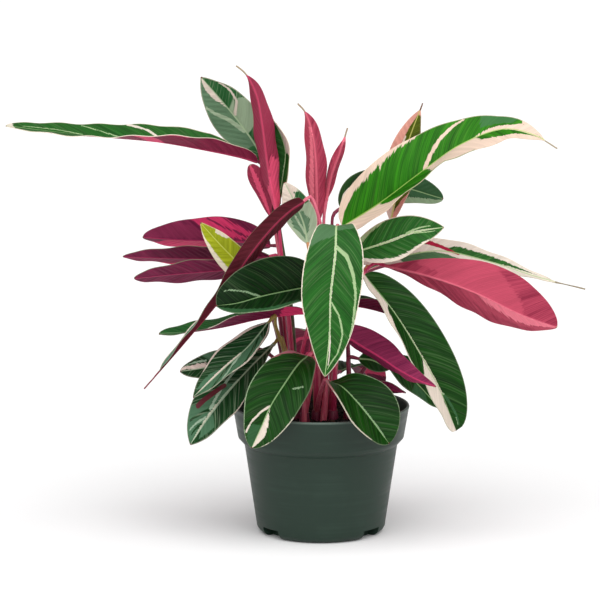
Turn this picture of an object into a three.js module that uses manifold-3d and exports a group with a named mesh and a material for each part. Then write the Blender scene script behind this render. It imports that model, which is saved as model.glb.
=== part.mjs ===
// Potted tricolour stromanthe, a prayer plant, standing in a plastic nursery pot.
//
// Millimetres, +Z up, the viewer's side is -Y. The origin is the middle of the pot's
// underside, on the ground. The plant is a clump of shoots in potting soil: each shoot
// is a short crown with its leaf stalks grown out of it, and each leaf blade sits on
// the end of its own stalk.

import * as THREE from 'three';
import { mergeVertices } from 'three/addons/utils/BufferGeometryUtils.js';
import Module from 'manifold-3d';

const wasm = await Module();
wasm.setup();

const DEGREE = Math.PI / 180;

// Clearance between two pieces that touch on the real plant.
const SEAT_GAP = 0.3;

// Pot: a 16 cm moulded pot with a deep rim band and a foot that is notched for drainage.
const POT = {
  height: 116,
  rimRadius: 80,
  wall: 1.8,
  bandFootRadius: 75,
  bandFootHeight: 87,
  neckRadius: 69.4,
  neckHeight: 81,
  footCornerRadius: 58.5,
  footCornerHeight: 7.5,
  footRadius: 51,
  ringRadius: 46,
  recessHeight: 4.5,
  padRadius: 16,
  turnSteps: 48,
};

const NOTCH = { angles: [-128, -52, 52, 128], width: 22, reach: 16, height: 8.5 };

// Soil: its surface lies a little under the rim and is lumpy.
const SOIL = { top: 103, lump: 1.4, rings: 5 };

// Leaf blades: the section is five points across on the upper side and five below.
const BLADE = {
  edgeThickness: 0.6,
  ribThickness: 0.9,
  keel: 0.8,
  rootHalfWidth: 1.7,
  tipHalfWidth: 0.5,
  rootThickness: 2.2,
  rootLength: 0.05,
  across: [-1, -0.5, 0, 0.5, 1],
};

// Leaf stalks: round, thickest where they leave the crown.
const STALK = { footRadius: 2.7, endRadius: 1.25, sides: 5, approach: 9, crownInset: 3 };

// Crowns: the short thick foot of a shoot, which stands in a plain hole in the soil.
const CROWN = { radius: 5.2, neck: 4.2, rise: 9, depth: 24, sides: 10 };

const SHOOTS = {
  shoot_left_rear: { crown: [-22, 16], colour: 0xb0405c },
  shoot_centre: { crown: [-4, -4], colour: 0xa84058 },
  shoot_right_rear: { crown: [9, 12], colour: 0xc06a5c },
  shoot_left: { crown: [-30, 32], colour: 0x8a3a4c },
  shoot_left_front: { crown: [-23, -3], colour: 0x8c2c48 },
  shoot_front: { crown: [-15, -18], colour: 0xb45868 },
  shoot_right: { crown: [11, -6], colour: 0xa03c50 },
  shoot_right_low: { crown: [25, 4], colour: 0x9c3a4e },
  shoot_back: { crown: [2, 38], colour: 0x94404e },
};

const GREEN = 0x1f5a2c;
const MIXED = 0x7d9a78;
const MAROON = 0x6b2338;
const PINK = 0xb24c62;
const LIME = 0x94a012;

// Each leaf: the points that its midrib passes through from stalk to tip, its full width,
// the direction that its upper side looks at from base to tip, the angle that each half
// folds up from the midrib at base and tip, and the points that its stalk passes through.
const LEAVES = [
  {
    name: 'leaf_01', shoot: 'shoot_left_rear', colour: GREEN, width: 44, full: 0.5,
    fold: [34, 47, 28, 16, 11, 10],
    rib: [[-58, 34, 333], [-76, 27, 339], [-105, 21, 346], [-146, 16, 354], [-221, 7, 362], [-282, -4, 371]],
    face: [[0, 0.3, 0.95], [0, -0.07, 1], [0, -0.09, 1],
      [0, -0.14, 0.99], [0, -0.19, 0.98], [0, -0.24, 0.97]],
    stalk: [[-31, 15, 200], [-42, 31, 280], [-49, 37, 320]],
  },
  {
    name: 'leaf_02', shoot: 'shoot_left_rear', colour: MIXED, width: 42, fold: [12, 15], widest: 0.5,
    rib: [[-52, 46, 327], [-58, 48, 343], [-73, 50, 365], [-89, 44, 386], [-108, 32, 410]],
    face: [[-0.2, -0.95, 0.2], [-0.2, -0.95, 0.2]],
    stalk: [[-31, 20, 200], [-42, 40, 285]],
  },
  {
    name: 'leaf_03', shoot: 'shoot_left_rear', colour: PINK, width: 36, fold: [62, 55],
    rib: [[-40, 12, 289], [-48, 14, 331], [-53, 10, 370], [-58, 6, 397], [-68, 0, 418], [-76, -2, 425]],
    face: [[0.1, 1, 0.1], [0, 1, 0.1]], tail: 0.09,
    stalk: [[-30, 12, 200], [-36, 11, 255]],
  },
  {
    name: 'leaf_04', shoot: 'shoot_left_rear', colour: GREEN, width: 40, fold: [40, 38],
    rib: [[-38, 30, 295], [-34, 34, 321], [-32, 36, 341], [-38, 34, 361], [-49, 30, 379]],
    face: [[-0.62, -0.76, 0.1], [-0.62, -0.76, 0.1]],
    stalk: [[-27, 20, 200], [-37, 27, 270]],
  },
  {
    name: 'leaf_05', shoot: 'shoot_centre', colour: PINK, width: 33, fold: [60, 52],
    rib: [[-4, 17, 270], [-4, 21, 304], [-5, 24, 336], [-8, 24, 359], [-15, 20, 381], [-21, 18, 388]],
    face: [[0, 1, 0.1], [0, 1, 0.1]], tail: 0.08, widest: 0.5,
    stalk: [[-5, 10, 190], [-4, 15, 240]],
  },
  {
    name: 'leaf_06', shoot: 'shoot_centre', colour: PINK, width: 16, fold: [58, 48],
    rib: [[5, 31, 298], [9, 35, 318], [16, 37, 338], [24, 38, 363]],
    face: [[0, 1, 0], [0, 1, 0]], tail: 0.12,
    stalk: [[-1, 12, 200], [2, 24, 265]],
  },
  {
    name: 'leaf_07', shoot: 'shoot_centre', colour: MAROON, width: 22, fold: [15, 38],
    widest: 0.3, full: 0.45,
    rib: [[-16, -8, 303], [-28, -16, 296], [-44, -30, 283], [-64, -42, 260], [-88, -52, 225],
      [-120, -60, 187], [-158, -56, 142]],
    face: [[-0.35, 0.9, 0.3], [-0.4, 0.88, 0.3], [-0.8, 0.05, 0.6], [-0.78, -0.3, 0.55]], tail: 0.1,
    stalk: [[-3, 0, 200], [1, -3, 270], [-4, -6, 295]],
  },
  {
    name: 'leaf_08', shoot: 'shoot_left', colour: MAROON, width: 46, fold: [28, 24], full: 0.55,
    rib: [[-46, 44, 254], [-78, 50, 257], [-119, 50, 258], [-162, 44, 262]],
    face: [[0, 0.82, 0.57], [0, 0.82, 0.57]], widest: 0.42,
    stalk: [[-32, 36, 180], [-36, 42, 235]],
  },
  {
    name: 'leaf_09', shoot: 'shoot_left', colour: MAROON, width: 34, fold: [10, 10], full: 0.6,
    rib: [[-47, 28, 247], [-87, 30, 245], [-132, 26, 246], [-179, 16, 249]],
    face: [[0, 0.64, 0.77], [0, 0.64, 0.77]],
    stalk: [[-33, 32, 180], [-38, 30, 234]],
  },
  {
    name: 'leaf_10', shoot: 'shoot_left', colour: MAROON, width: 40, fold: [4, 4], full: 0.55,
    rib: [[-54, 14, 240], [-91, 8, 238], [-132, 0, 236], [-168, -10, 234]],
    face: [[0, 0.64, 0.77], [0, 0.64, 0.77]], widest: 0.5,
    stalk: [[-36, 28, 180], [-43, 20, 226]],
  },
  {
    name: 'leaf_11', shoot: 'shoot_left', colour: LIME, width: 28, fold: [20, 20],
    rib: [[-56, 0, 222], [-73, -6, 245], [-91, -10, 265], [-108, -14, 285]],
    face: [[-0.3, -0.9, 0.3], [-0.3, -0.9, 0.3]],
    stalk: [[-36, 22, 160], [-47, 6, 205]],
  },
  {
    name: 'leaf_12', shoot: 'shoot_centre', colour: GREEN, width: 66, fold: [42, 32], full: 0.38,
    rib: [[-3, -14, 228], [-28, -34, 227], [-53, -52, 225], [-75, -64, 221], [-93, -72, 220]],
    face: [[0.42, -0.56, 0.72], [0.42, -0.56, 0.72]],
    stalk: [[-4, -5, 180], [3, -8, 218]],
  },
  {
    name: 'leaf_13', shoot: 'shoot_left_front', colour: GREEN, width: 44, fold: [30, 10], full: 0.6,
    rib: [[-14, -8, 202], [-53, -18, 199], [-88, -28, 193], [-117, -36, 190], [-145, -42, 189]],
    face: [[0, 0.35, 0.94], [0, 0.2, 0.98], [0, -0.25, 0.97]],
    stalk: [[-18, -4, 160], [-9, -5, 196]],
  },
  {
    name: 'leaf_14', shoot: 'shoot_left_front', colour: MIXED, width: 39, fold: [15, 15],
    rib: [[-47, -30, 197], [-65, -44, 178], [-87, -56, 160], [-114, -66, 136]],
    face: [[-0.3, -0.45, 0.84], [-0.3, -0.45, 0.84]],
    stalk: [[-33, -8, 165], [-41, -20, 193]],
  },
  {
    name: 'leaf_15', shoot: 'shoot_left_front', colour: GREEN, width: 44, fold: [12, 14],
    rib: [[-42, -10, 174], [-66, -28, 153], [-92, -42, 126], [-106, -50, 108], [-117, -52, 90]],
    face: [[-0.3, -0.8, 0.5], [-0.3, -0.8, 0.5]], widest: 0.6,
    stalk: [[-27, -4, 150], [-33, -5, 170]],
  },
  {
    name: 'leaf_16', shoot: 'shoot_left_front', colour: MIXED, width: 27, fold: [8, 8], full: 0.6,
    rib: [[-68, -4, 164], [-95, -10, 154], [-127, -14, 149]],
    face: [[0, -0.8, 0.6], [0, -0.8, 0.6]],
    stalk: [[-28, 0, 140], [-52, -1, 166]],
  },
  {
    name: 'leaf_17', shoot: 'shoot_left_rear', colour: PINK, width: 18, fold: [12, 20],
    full: 0.5, widest: 0.66,
    rib: [[-45, 25, 283], [-54, 30, 309], [-64, 30, 331]],
    face: [[0.3, 0.95, 0], [0.3, 0.95, 0]],
    stalk: [[-30, 18, 200], [-40, 24, 262]],
  },
  {
    name: 'leaf_18', shoot: 'shoot_front', colour: GREEN, width: 54, fold: [20, 24], full: 0.62,
    rib: [[-12, -30, 166], [-20, -48, 163], [-33, -66, 148],
      [-45, -78, 131], [-54, -86, 112], [-62, -88, 95]],
    face: [[0.1, -0.35, 0.9], [0, -0.8, 0.4], [0.05, -0.95, 0.05]], widest: 0.52,
    stalk: [[-14, -19, 140], [-12, -22, 161]],
  },
  {
    name: 'leaf_19', shoot: 'shoot_front', colour: GREEN, width: 54, fold: [8, 8], widest: 0.44,
    rib: [[14, -46, 287], [13, -66, 289], [12, -84, 268], [8, -92, 233], [7, -94, 198], [3, -90, 160]],
    face: [[0, -0.1, 1], [0, -0.95, 0.3], [0, -1, 0.05]],
    stalk: [[-6, -22, 160], [8, -26, 240], [12, -32, 276]],
  },
  {
    name: 'leaf_20', shoot: 'shoot_right_rear', colour: GREEN, width: 66, fold: [33, 41, 30, 4, 12],
    rib: [[19, -14, 281], [52, -18, 303], [91, -20, 333], [125, -20, 357],
      [163, -22, 371], [189, -24, 366], [210, -26, 354]],
    face: [[-0.3, -0.82, 0.6], [-0.38, -0.76, 0.66], [-0.45, -0.56, 0.83],
      [-0.07, -0.64, 0.85], [0.26, -0.75, 0.7]],
    widest: 0.32, tail: 0.06,
    stalk: [[11, 8, 200], [12, 0, 262]],
  },
  {
    name: 'leaf_21', shoot: 'shoot_right_rear', colour: LIME, width: 30, fold: [10, 10], widest: 0.48,
    rib: [[63, 10, 282], [69, 16, 314], [78, 18, 352], [91, 14, 389]],
    face: [[-0.3, -0.9, 0.1], [-0.3, -0.9, 0.1]], tail: 0.06,
    stalk: [[22, 14, 200], [54, 8, 262]],
  },
  {
    name: 'leaf_22', shoot: 'shoot_right_rear', colour: GREEN, width: 36, fold: [10, 10], full: 0.5,
    rib: [[18, 36, 290], [37, 42, 306], [73, 46, 307], [111, 44, 297]],
    face: [[0, -0.8, 0.6], [0, -0.8, 0.6]],
    stalk: [[12, 20, 200], [10, 32, 272]],
  },
  {
    name: 'leaf_23', shoot: 'shoot_back', colour: GREEN, width: 42, fold: [12, 10],
    rib: [[18, 50, 136], [32, 70, 138], [44, 88, 124], [50, 98, 100]],
    face: [[0, 0.2, 0.98], [0.4, 0.6, 0.7], [0.5, 0.8, 0.3]],
    stalk: [[8, 42, 128]],
  },
  {
    name: 'leaf_24', shoot: 'shoot_right', colour: GREEN, width: 38, fold: [6, 6],
    rib: [[27, -24, 259], [59, -34, 271], [83, -40, 281], [109, -44, 286]],
    face: [[0, -0.93, 0.37], [0, -0.93, 0.37]],
    stalk: [[14, -8, 180], [20, -18, 240]],
  },
  {
    name: 'leaf_25', shoot: 'shoot_right', colour: MIXED, width: 29, fold: [10, 10], widest: 0.36,
    rib: [[31, -4, 248], [71, 0, 252], [107, 4, 256], [152, 6, 246], [193, 4, 233], [238, 0, 222]],
    face: [[0, -0.55, 0.83], [0, -0.55, 0.83]], tail: 0.14,
    stalk: [[14, -6, 180], [20, -4, 236]],
  },
  {
    name: 'leaf_26', shoot: 'shoot_right', colour: PINK, width: 62, fold: [24, 24], widest: 0.64, full: 0.6,
    rib: [[57, -14, 246], [97, -24, 238], [137, -32, 225], [178, -36, 206], [211, -36, 194]],
    face: [[0.18, 0.88, 0.38], [0.2, 0.9, 0.3], [0.2, 0.85, 0.45]],
    stalk: [[16, -6, 180], [34, -10, 232]],
  },
  {
    name: 'leaf_27', shoot: 'shoot_right', colour: GREEN, width: 54, fold: [40, 32], full: 0.4,
    rib: [[38, -34, 241], [64, -50, 211], [85, -60, 179], [106, -64, 141], [120, -62, 105]],
    face: [[0.52, -0.77, 0.47], [0.49, -0.83, 0.35]], widest: 0.5,
    stalk: [[14, -10, 180], [24, -24, 236]],
  },
  {
    name: 'leaf_28', shoot: 'shoot_right', colour: MAROON, width: 35, fold: [36, 30],
    rib: [[14, -26, 189], [33, -42, 180], [52, -61, 172], [70, -83, 164], [86, -96, 158], [101, -100, 153]],
    face: [[0.64, 0.74, 0.19], [0.6, 0.74, 0.25]], widest: 0.34,
    stalk: [[12, -13, 150], [8, -20, 183]],
  },
  {
    name: 'leaf_29', shoot: 'shoot_right_low', colour: GREEN, width: 34, fold: [20, 20],
    rib: [[57, 10, 158], [82, 4, 139], [107, -2, 113]],
    face: [[0.4, -0.7, 0.5], [0.4, -0.7, 0.5]],
    stalk: [[30, 6, 130], [46, 10, 158]],
  },
  {
    name: 'leaf_30', shoot: 'shoot_centre', colour: GREEN, width: 60, fold: [32, 28], full: 0.56,
    rib: [[8, -38, 144], [19, -56, 143], [31, -68, 133], [45, -76, 117], [60, -80, 97]],
    face: [[0.3, -0.6, 0.7], [0.4, -0.8, 0.45]], widest: 0.6,
    stalk: [[-1, -20, 130], [2, -28, 141]],
  },
  {
    name: 'leaf_31', shoot: 'shoot_right_low', colour: GREEN, width: 38, fold: [34, 28], full: 0.6,
    rib: [[26, 0, 208], [44, 2, 204], [64, 3, 198]],
    face: [[0, 0.15, 1], [0, 0.1, 1]],
    stalk: [[25, 4, 150], [22, 0, 195]],
  },
  {
    name: 'leaf_32', shoot: 'shoot_right_low', colour: MAROON, width: 18, fold: [10, 10],
    rib: [[44, -14, 136], [60, -22, 135], [76, -30, 133]],
    face: [[0, 0.7, 0.7], [0, 0.7, 0.7]],
    stalk: [[29, -4, 128]],
  },
  {
    name: 'leaf_33', shoot: 'shoot_right_low', colour: GREEN, width: 22, fold: [10, 10],
    rib: [[34, 0, 158], [46, -2, 157], [62, -4, 149]],
    face: [[0, -0.8, 0.6], [0, -0.8, 0.6]],
    stalk: [[26, -1, 140]],
  },
  {
    name: 'leaf_34', shoot: 'shoot_centre', colour: MIXED, width: 28, fold: [12, 12],
    rib: [[-12, 4, 263], [-16, 10, 281], [-24, 14, 299], [-33, 16, 317]],
    face: [[0, -1, 0.1], [0, -1, 0.1]],
    stalk: [[-8, 2, 200], [-9, 2, 245]],
  },
  {
    name: 'leaf_35', shoot: 'shoot_back', colour: GREEN, width: 44, fold: [10, 8],
    rib: [[6, 62, 262], [8, 84, 254], [12, 104, 216], [10, 112, 170]],
    face: [[0, 0.2, 0.98], [0, 0.9, 0.4], [0, 1, 0.1]],
    stalk: [[3, 44, 190], [5, 52, 250]],
  },
  {
    name: 'leaf_36', shoot: 'shoot_back', colour: MIXED, width: 44, fold: [14, 12],
    rib: [[-20, 62, 220], [-40, 84, 226], [-62, 104, 217], [-80, 118, 198]],
    face: [[-0.3, 0.3, 0.9], [-0.3, 0.4, 0.85]],
    stalk: [[-5, 44, 160], [-13, 54, 208]],
  },
  {
    name: 'leaf_37', shoot: 'shoot_back', colour: GREEN, width: 42, fold: [14, 12],
    rib: [[36, 56, 226], [72, 74, 232], [108, 92, 222], [140, 104, 202]],
    face: [[0.2, 0.3, 0.93], [0.3, 0.4, 0.86]],
    stalk: [[10, 42, 170], [26, 50, 218]],
  },
  {
    name: 'leaf_38', shoot: 'shoot_back', colour: MIXED, width: 40, fold: [12, 12],
    rib: [[26, 58, 270], [48, 76, 296], [68, 90, 310], [86, 98, 310]],
    face: [[-0.4, 0.3, 0.85], [0.1, 0.4, 0.9]],
    stalk: [[6, 44, 200], [18, 52, 254]],
  },
  {
    name: 'leaf_39', shoot: 'shoot_back', colour: MIXED, width: 44, fold: [12, 10],
    rib: [[2, 58, 166], [-4, 78, 166], [-10, 98, 150], [-12, 108, 120]],
    face: [[0, 0.2, 0.98], [0, 0.8, 0.6], [0, 1, 0.2]],
    stalk: [[2, 44, 150]],
  },
];

function vectors(points) {
  return points.map(([x, y, z]) => new THREE.Vector3(x, y, z));
}

// A closed body through rings of equally many points, whose ends are closed by a ladder
// between each point and the one across from it. The second half of a ring lies under
// the first, and its quads are split the mirrored way, so both faces get like triangles.
function loft(rings) {
  const count = rings[0].length;
  const positions = rings.flat().flatMap((point) => point.toArray());
  const index = [];
  for (let row = 0; row < rings.length - 1; row += 1) {
    for (let j = 0; j < count; j += 1) {
      const a = row * count + j;
      const b = row * count + (j + 1) % count;
      const c = b + count;
      const d = a + count;
      index.push(...(j < count / 2 ? [a, b, c, a, c, d] : [a, b, d, b, c, d]));
    }
  }
  const last = (rings.length - 1) * count;
  for (let j = 0; j < count / 2 - 1; j += 1) {
    const across = count - 1 - j;
    index.push(j, across, across - 1, j, across - 1, j + 1);
    index.push(last + j, last + across - 1, last + across, last + j, last + j + 1, last + across - 1);
  }
  const geometry = new THREE.BufferGeometry();
  geometry.setAttribute('position', new THREE.Float32BufferAttribute(positions, 3));
  geometry.setIndex(index);
  return faceOutwards(geometry);
}

// Six times the volume that a closed mesh encloses, negative where its faces look inwards.
function signedVolume(geometry) {
  const position = geometry.getAttribute('position');
  const corners = [0, 1, 2].map(() => new THREE.Vector3());
  let volume = 0;
  for (let i = 0; i < geometry.index.count; i += 3) {
    corners.forEach((corner, k) => corner.fromBufferAttribute(position, geometry.index.getX(i + k)));
    volume += corners[0].dot(corners[1].clone().cross(corners[2]));
  }
  return volume;
}

function faceOutwards(geometry) {
  if (signedVolume(geometry) < 0) {
    geometry.setIndex(Array.from(geometry.index.array).reverse());
  }
  return geometry;
}

function solidFrom(geometry) {
  const bare = geometry.clone();
  bare.deleteAttribute('normal');
  bare.deleteAttribute('uv');
  const merged = mergeVertices(bare, 1e-4);
  return new wasm.Manifold(new wasm.Mesh({
    numProp: 3,
    vertProperties: new Float32Array(merged.getAttribute('position').array),
    triVerts: new Uint32Array(merged.index.array),
  }));
}

function geometryFrom(solid) {
  const mesh = solid.getMesh();
  const geometry = new THREE.BufferGeometry();
  geometry.setAttribute('position', new THREE.Float32BufferAttribute(mesh.vertProperties, 3));
  geometry.setIndex(Array.from(mesh.triVerts));
  return geometry;
}

// Value at u along evenly spaced entries of a list of numbers.
function blend(values, u) {
  const place = u * (values.length - 1);
  const low = Math.min(Math.floor(place), values.length - 2);
  return THREE.MathUtils.lerp(values[low], values[low + 1], place - low);
}

function blendVector(entries, u) {
  const [x, y, z] = [0, 1, 2].map((axis) => blend(entries.map((entry) => entry[axis]), u));
  return new THREE.Vector3(x, y, z);
}

// Half the width of a blade at u: a full lance-shaped outline with a narrow root, and a
// hair-like tail on a leaf that has just unrolled.
function halfWidth(leaf, u) {
  const widest = leaf.widest ?? 0.46;
  const body = Math.min(u / (1 - (leaf.tail ?? 0)), 1);
  const power = Math.log(0.5) / Math.log(widest);
  const outline = Math.sin(Math.PI * body ** power) ** (leaf.full ?? 0.75);
  const least = THREE.MathUtils.lerp(BLADE.rootHalfWidth, BLADE.tipHalfWidth, u);
  return Math.max(least, (leaf.width / 2) * outline);
}

// One section of a blade at u: five points over the upper side, then five back below it.
function bladeRing(leaf, rib, u) {
  const middle = rib.getPointAt(u);
  const along = rib.getTangentAt(u);
  const up = blendVector(leaf.face, u);
  up.addScaledVector(along, -up.dot(along)).normalize();
  const side = new THREE.Vector3().crossVectors(along, up);
  const fold = blend(leaf.fold, u) * DEGREE;
  const reach = halfWidth(leaf, u);
  const rootShare = Math.max(0, 1 - u / BLADE.rootLength);
  const upper = [];
  const under = [];
  for (const v of BLADE.across) {
    const lean = fold * Math.sign(v);
    const point = middle.clone()
      .addScaledVector(side, v * reach * Math.cos(fold))
      .addScaledVector(up, Math.abs(v) * reach * Math.sin(fold));
    const normal = up.clone().multiplyScalar(Math.cos(lean)).addScaledVector(side, -Math.sin(lean));
    const plain = THREE.MathUtils.lerp(BLADE.ribThickness, BLADE.edgeThickness, Math.abs(v));
    const keel = v === 0 ? BLADE.keel * (1 - 0.6 * u) : 0;
    const thickness = THREE.MathUtils.lerp(plain, BLADE.rootThickness, rootShare * (1 - Math.abs(v) * 0.6));
    upper.push(point.clone().addScaledVector(normal, thickness / 2));
    under.unshift(point.clone().addScaledVector(normal, -thickness / 2 - keel));
  }
  return [...upper, ...under];
}

function ribCurve(leaf) {
  return new THREE.CatmullRomCurve3(vectors(leaf.rib));
}

function bladeGeometry(leaf) {
  const rib = ribCurve(leaf);
  const steps = leaf.steps ?? 10;
  const rings = [];
  for (let i = 0; i <= steps; i += 1) {
    const even = i / steps;
    const eased = 0.5 - 0.5 * Math.cos(Math.PI * even);
    rings.push(bladeRing(leaf, rib, THREE.MathUtils.lerp(even, eased, 0.5)));
  }
  return loft(rings);
}

// A leaf stalk: a tapered tube from inside the crown to the root of its blade.
function stalkGeometry(leaf, crown) {
  const rib = ribCurve(leaf);
  const root = rib.getPointAt(0);
  const ahead = rib.getTangentAt(0);
  const start = new THREE.Vector3(...crown, SOIL.top + CROWN.rise - STALK.crownInset);
  const path = new THREE.CatmullRomCurve3([
    start,
    ...vectors(leaf.stalk),
    root.clone().addScaledVector(ahead, -STALK.approach),
    root.clone().addScaledVector(ahead, -SEAT_GAP),
  ]);
  const steps = 3 + 2 * leaf.stalk.length;
  const frames = path.computeFrenetFrames(steps, false);
  const rings = [];
  for (let i = 0; i <= steps; i += 1) {
    const u = i / steps;
    const middle = path.getPointAt(u);
    const radius = THREE.MathUtils.lerp(STALK.footRadius, STALK.endRadius, u);
    const ring = [];
    for (let k = 0; k < STALK.sides; k += 1) {
      const angle = (k / STALK.sides) * 2 * Math.PI;
      ring.push(middle.clone()
        .addScaledVector(frames.normals[i], radius * Math.cos(angle))
        .addScaledVector(frames.binormals[i], radius * Math.sin(angle)));
    }
    rings.push(ring);
  }
  return loft(rings);
}

function crownGeometry([x, y], clearance = 0) {
  const profile = [
    [0, SOIL.top - CROWN.depth - clearance],
    [CROWN.radius + clearance, SOIL.top - CROWN.depth - clearance],
    [CROWN.radius + clearance, SOIL.top + 2],
    [CROWN.neck + clearance, SOIL.top + CROWN.rise],
    [0, SOIL.top + CROWN.rise],
  ];
  return turned(profile, CROWN.sides).translate(x, y, 0);
}

function shootGeometry(name) {
  const { crown } = SHOOTS[name];
  let solid = solidFrom(crownGeometry(crown));
  for (const leaf of LEAVES.filter((entry) => entry.shoot === name)) {
    solid = solid.add(solidFrom(stalkGeometry(leaf, crown)));
  }
  return geometryFrom(solid);
}

// A body turned about +Z from [radius, height] points that start and end on the axis.
function turned(profile, steps) {
  const points = profile.map(([radius, height]) => new THREE.Vector2(radius, height));
  const geometry = new THREE.LatheGeometry(points, steps).rotateX(90 * DEGREE);
  geometry.deleteAttribute('normal');
  geometry.deleteAttribute('uv');
  return faceOutwards(mergeVertices(geometry, 1e-4));
}

// A quarter arc between a wall and a floor, as [radius, height] points from low to high.
function cornerArc(innerRadius, lowHeight, outerRadius, highHeight, steps) {
  return Array.from({ length: steps + 1 }, (_, i) => {
    const angle = (i / steps) * 90 * DEGREE;
    return [
      THREE.MathUtils.lerp(innerRadius, outerRadius, Math.sin(angle)),
      THREE.MathUtils.lerp(highHeight, lowHeight, Math.cos(angle)),
    ];
  });
}

// The pot's inside from the middle of its floor up to a height just under the rim, moved
// inwards by a clearance, which is zero for the pot itself.
function insideOutline(clearance) {
  const { wall } = POT;
  const inset = wall + clearance;
  const floor = POT.recessHeight + inset;
  return [
    [0, inset],
    [POT.padRadius - 2 - clearance, inset],
    [POT.padRadius + 1 - clearance, floor],
    ...cornerArc(POT.footRadius - inset, floor, POT.footCornerRadius - inset, 14, 3),
    [POT.neckRadius - inset, POT.neckHeight],
    [POT.bandFootRadius - inset, POT.bandFootHeight],
  ];
}

function potGeometry() {
  const { wall, height, rimRadius } = POT;
  const outside = [
    [0, 0],
    [POT.padRadius, 0],
    [POT.padRadius + 3, POT.recessHeight],
    [POT.ringRadius - 2, POT.recessHeight],
    [POT.ringRadius, 0],
    ...cornerArc(POT.footRadius, 0, POT.footCornerRadius, POT.footCornerHeight, 4),
    [POT.neckRadius, POT.neckHeight],
    [POT.bandFootRadius, POT.bandFootHeight],
    [rimRadius - 0.4, height - 2],
    [rimRadius, height - 1.2],
    [rimRadius - 0.4, height - 0.3],
    [rimRadius - 1, height],
    [rimRadius - wall - 0.2, height],
    [rimRadius - wall - 0.6, height - 0.8],
  ];
  let pot = solidFrom(turned([...outside, ...insideOutline(0).reverse()], POT.turnSteps));
  for (const angle of NOTCH.angles) {
    const cut = new THREE.BoxGeometry(NOTCH.width, NOTCH.reach, 2 * NOTCH.height);
    cut.translate(0, -POT.footRadius - NOTCH.reach / 2 + 5, 0).rotateZ(angle * DEGREE);
    pot = pot.subtract(solidFrom(cut));
  }
  return geometryFrom(pot);
}

// Height of a lump in the soil, from a few crossing waves.
function lump(x, y) {
  const waves = Math.sin(x * 0.21 + y * 0.13) + Math.sin(y * 0.31 - x * 0.09 + 1)
    + Math.sin(x * 0.47 + 2) * Math.sin(y * 0.43 + 0.6);
  return (waves / 3) * SOIL.lump;
}

function soilGeometry() {
  const outline = insideOutline(SEAT_GAP);
  const [bandRadius, bandHeight] = outline[outline.length - 1];
  const rise = (SOIL.top - bandHeight) / (POT.height - bandHeight);
  const edgeRadius = THREE.MathUtils.lerp(bandRadius, POT.rimRadius - POT.wall - 0.6 - SEAT_GAP, rise);
  for (let ring = SOIL.rings; ring >= 0; ring -= 1) {
    outline.push([(edgeRadius * ring) / SOIL.rings, SOIL.top]);
  }
  const geometry = turned(outline, POT.turnSteps);
  const position = geometry.getAttribute('position');
  for (let i = 0; i < position.count; i += 1) {
    const x = position.getX(i);
    const y = position.getY(i);
    const inner = Math.hypot(x, y) < edgeRadius - 1;
    if (position.getZ(i) > SOIL.top - 0.01 && inner) {
      position.setZ(i, SOIL.top + lump(x, y));
    }
  }
  let soil = solidFrom(geometry);
  for (const { crown } of Object.values(SHOOTS)) {
    soil = soil.subtract(solidFrom(crownGeometry(crown, SEAT_GAP)));
  }
  return geometryFrom(soil);
}

function part(name, geometry, colour, roughness) {
  const flat = geometry.index ? geometry.toNonIndexed() : geometry;
  flat.computeVertexNormals();
  const material = new THREE.MeshStandardMaterial({ color: colour, roughness, metalness: 0 });
  const mesh = new THREE.Mesh(flat, material);
  mesh.name = name;
  return mesh;
}

const group = new THREE.Group();
group.add(part('pot', potGeometry(), 0x34443a, 0.55));
group.add(part('potting_soil', soilGeometry(), 0x17110d, 0.95));
for (const [name, shoot] of Object.entries(SHOOTS)) {
  group.add(part(name, shootGeometry(name), shoot.colour, 0.45));
}
for (const leaf of LEAVES) {
  group.add(part(leaf.name, bladeGeometry(leaf), leaf.colour, 0.4));
}

export default group;
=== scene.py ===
"""A potted tricolour stromanthe, a prayer plant, in a plastic nursery pot.

Metres, +Z up, the viewer's side is -Y. The origin is the middle of the pot's underside.
The sizes in the tables below are millimetres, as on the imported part.
"""

import logging
import math
from collections.abc import Callable
from dataclasses import dataclass, field, replace
from enum import Enum

import bpy
import numpy as np
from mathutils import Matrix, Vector


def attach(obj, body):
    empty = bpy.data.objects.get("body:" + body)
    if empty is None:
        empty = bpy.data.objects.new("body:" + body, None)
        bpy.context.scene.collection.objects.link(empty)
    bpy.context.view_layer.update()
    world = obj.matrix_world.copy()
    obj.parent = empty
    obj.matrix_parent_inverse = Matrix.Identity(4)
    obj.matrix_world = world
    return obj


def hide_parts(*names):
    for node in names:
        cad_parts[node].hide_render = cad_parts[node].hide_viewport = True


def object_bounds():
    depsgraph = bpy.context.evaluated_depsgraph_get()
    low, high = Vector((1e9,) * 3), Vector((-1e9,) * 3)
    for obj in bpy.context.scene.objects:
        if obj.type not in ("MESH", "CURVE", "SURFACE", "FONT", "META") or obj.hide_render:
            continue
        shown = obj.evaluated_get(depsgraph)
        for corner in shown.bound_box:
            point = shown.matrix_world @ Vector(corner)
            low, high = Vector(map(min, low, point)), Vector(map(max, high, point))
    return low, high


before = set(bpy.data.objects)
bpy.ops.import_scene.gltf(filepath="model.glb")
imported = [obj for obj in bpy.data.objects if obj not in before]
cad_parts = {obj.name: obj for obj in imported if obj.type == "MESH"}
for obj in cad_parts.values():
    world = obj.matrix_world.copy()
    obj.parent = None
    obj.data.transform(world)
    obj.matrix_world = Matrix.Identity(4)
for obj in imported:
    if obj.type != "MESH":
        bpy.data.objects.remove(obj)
CAD_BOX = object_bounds()

LOG = logging.getLogger("potted_plant")
MM = 0.001
BODY = "root"

Point = tuple[float, float, float]
Spot = tuple[float, float]
Colour = tuple[float, float, float, float]
Socket = bpy.types.NodeSocket


# Materials


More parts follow.
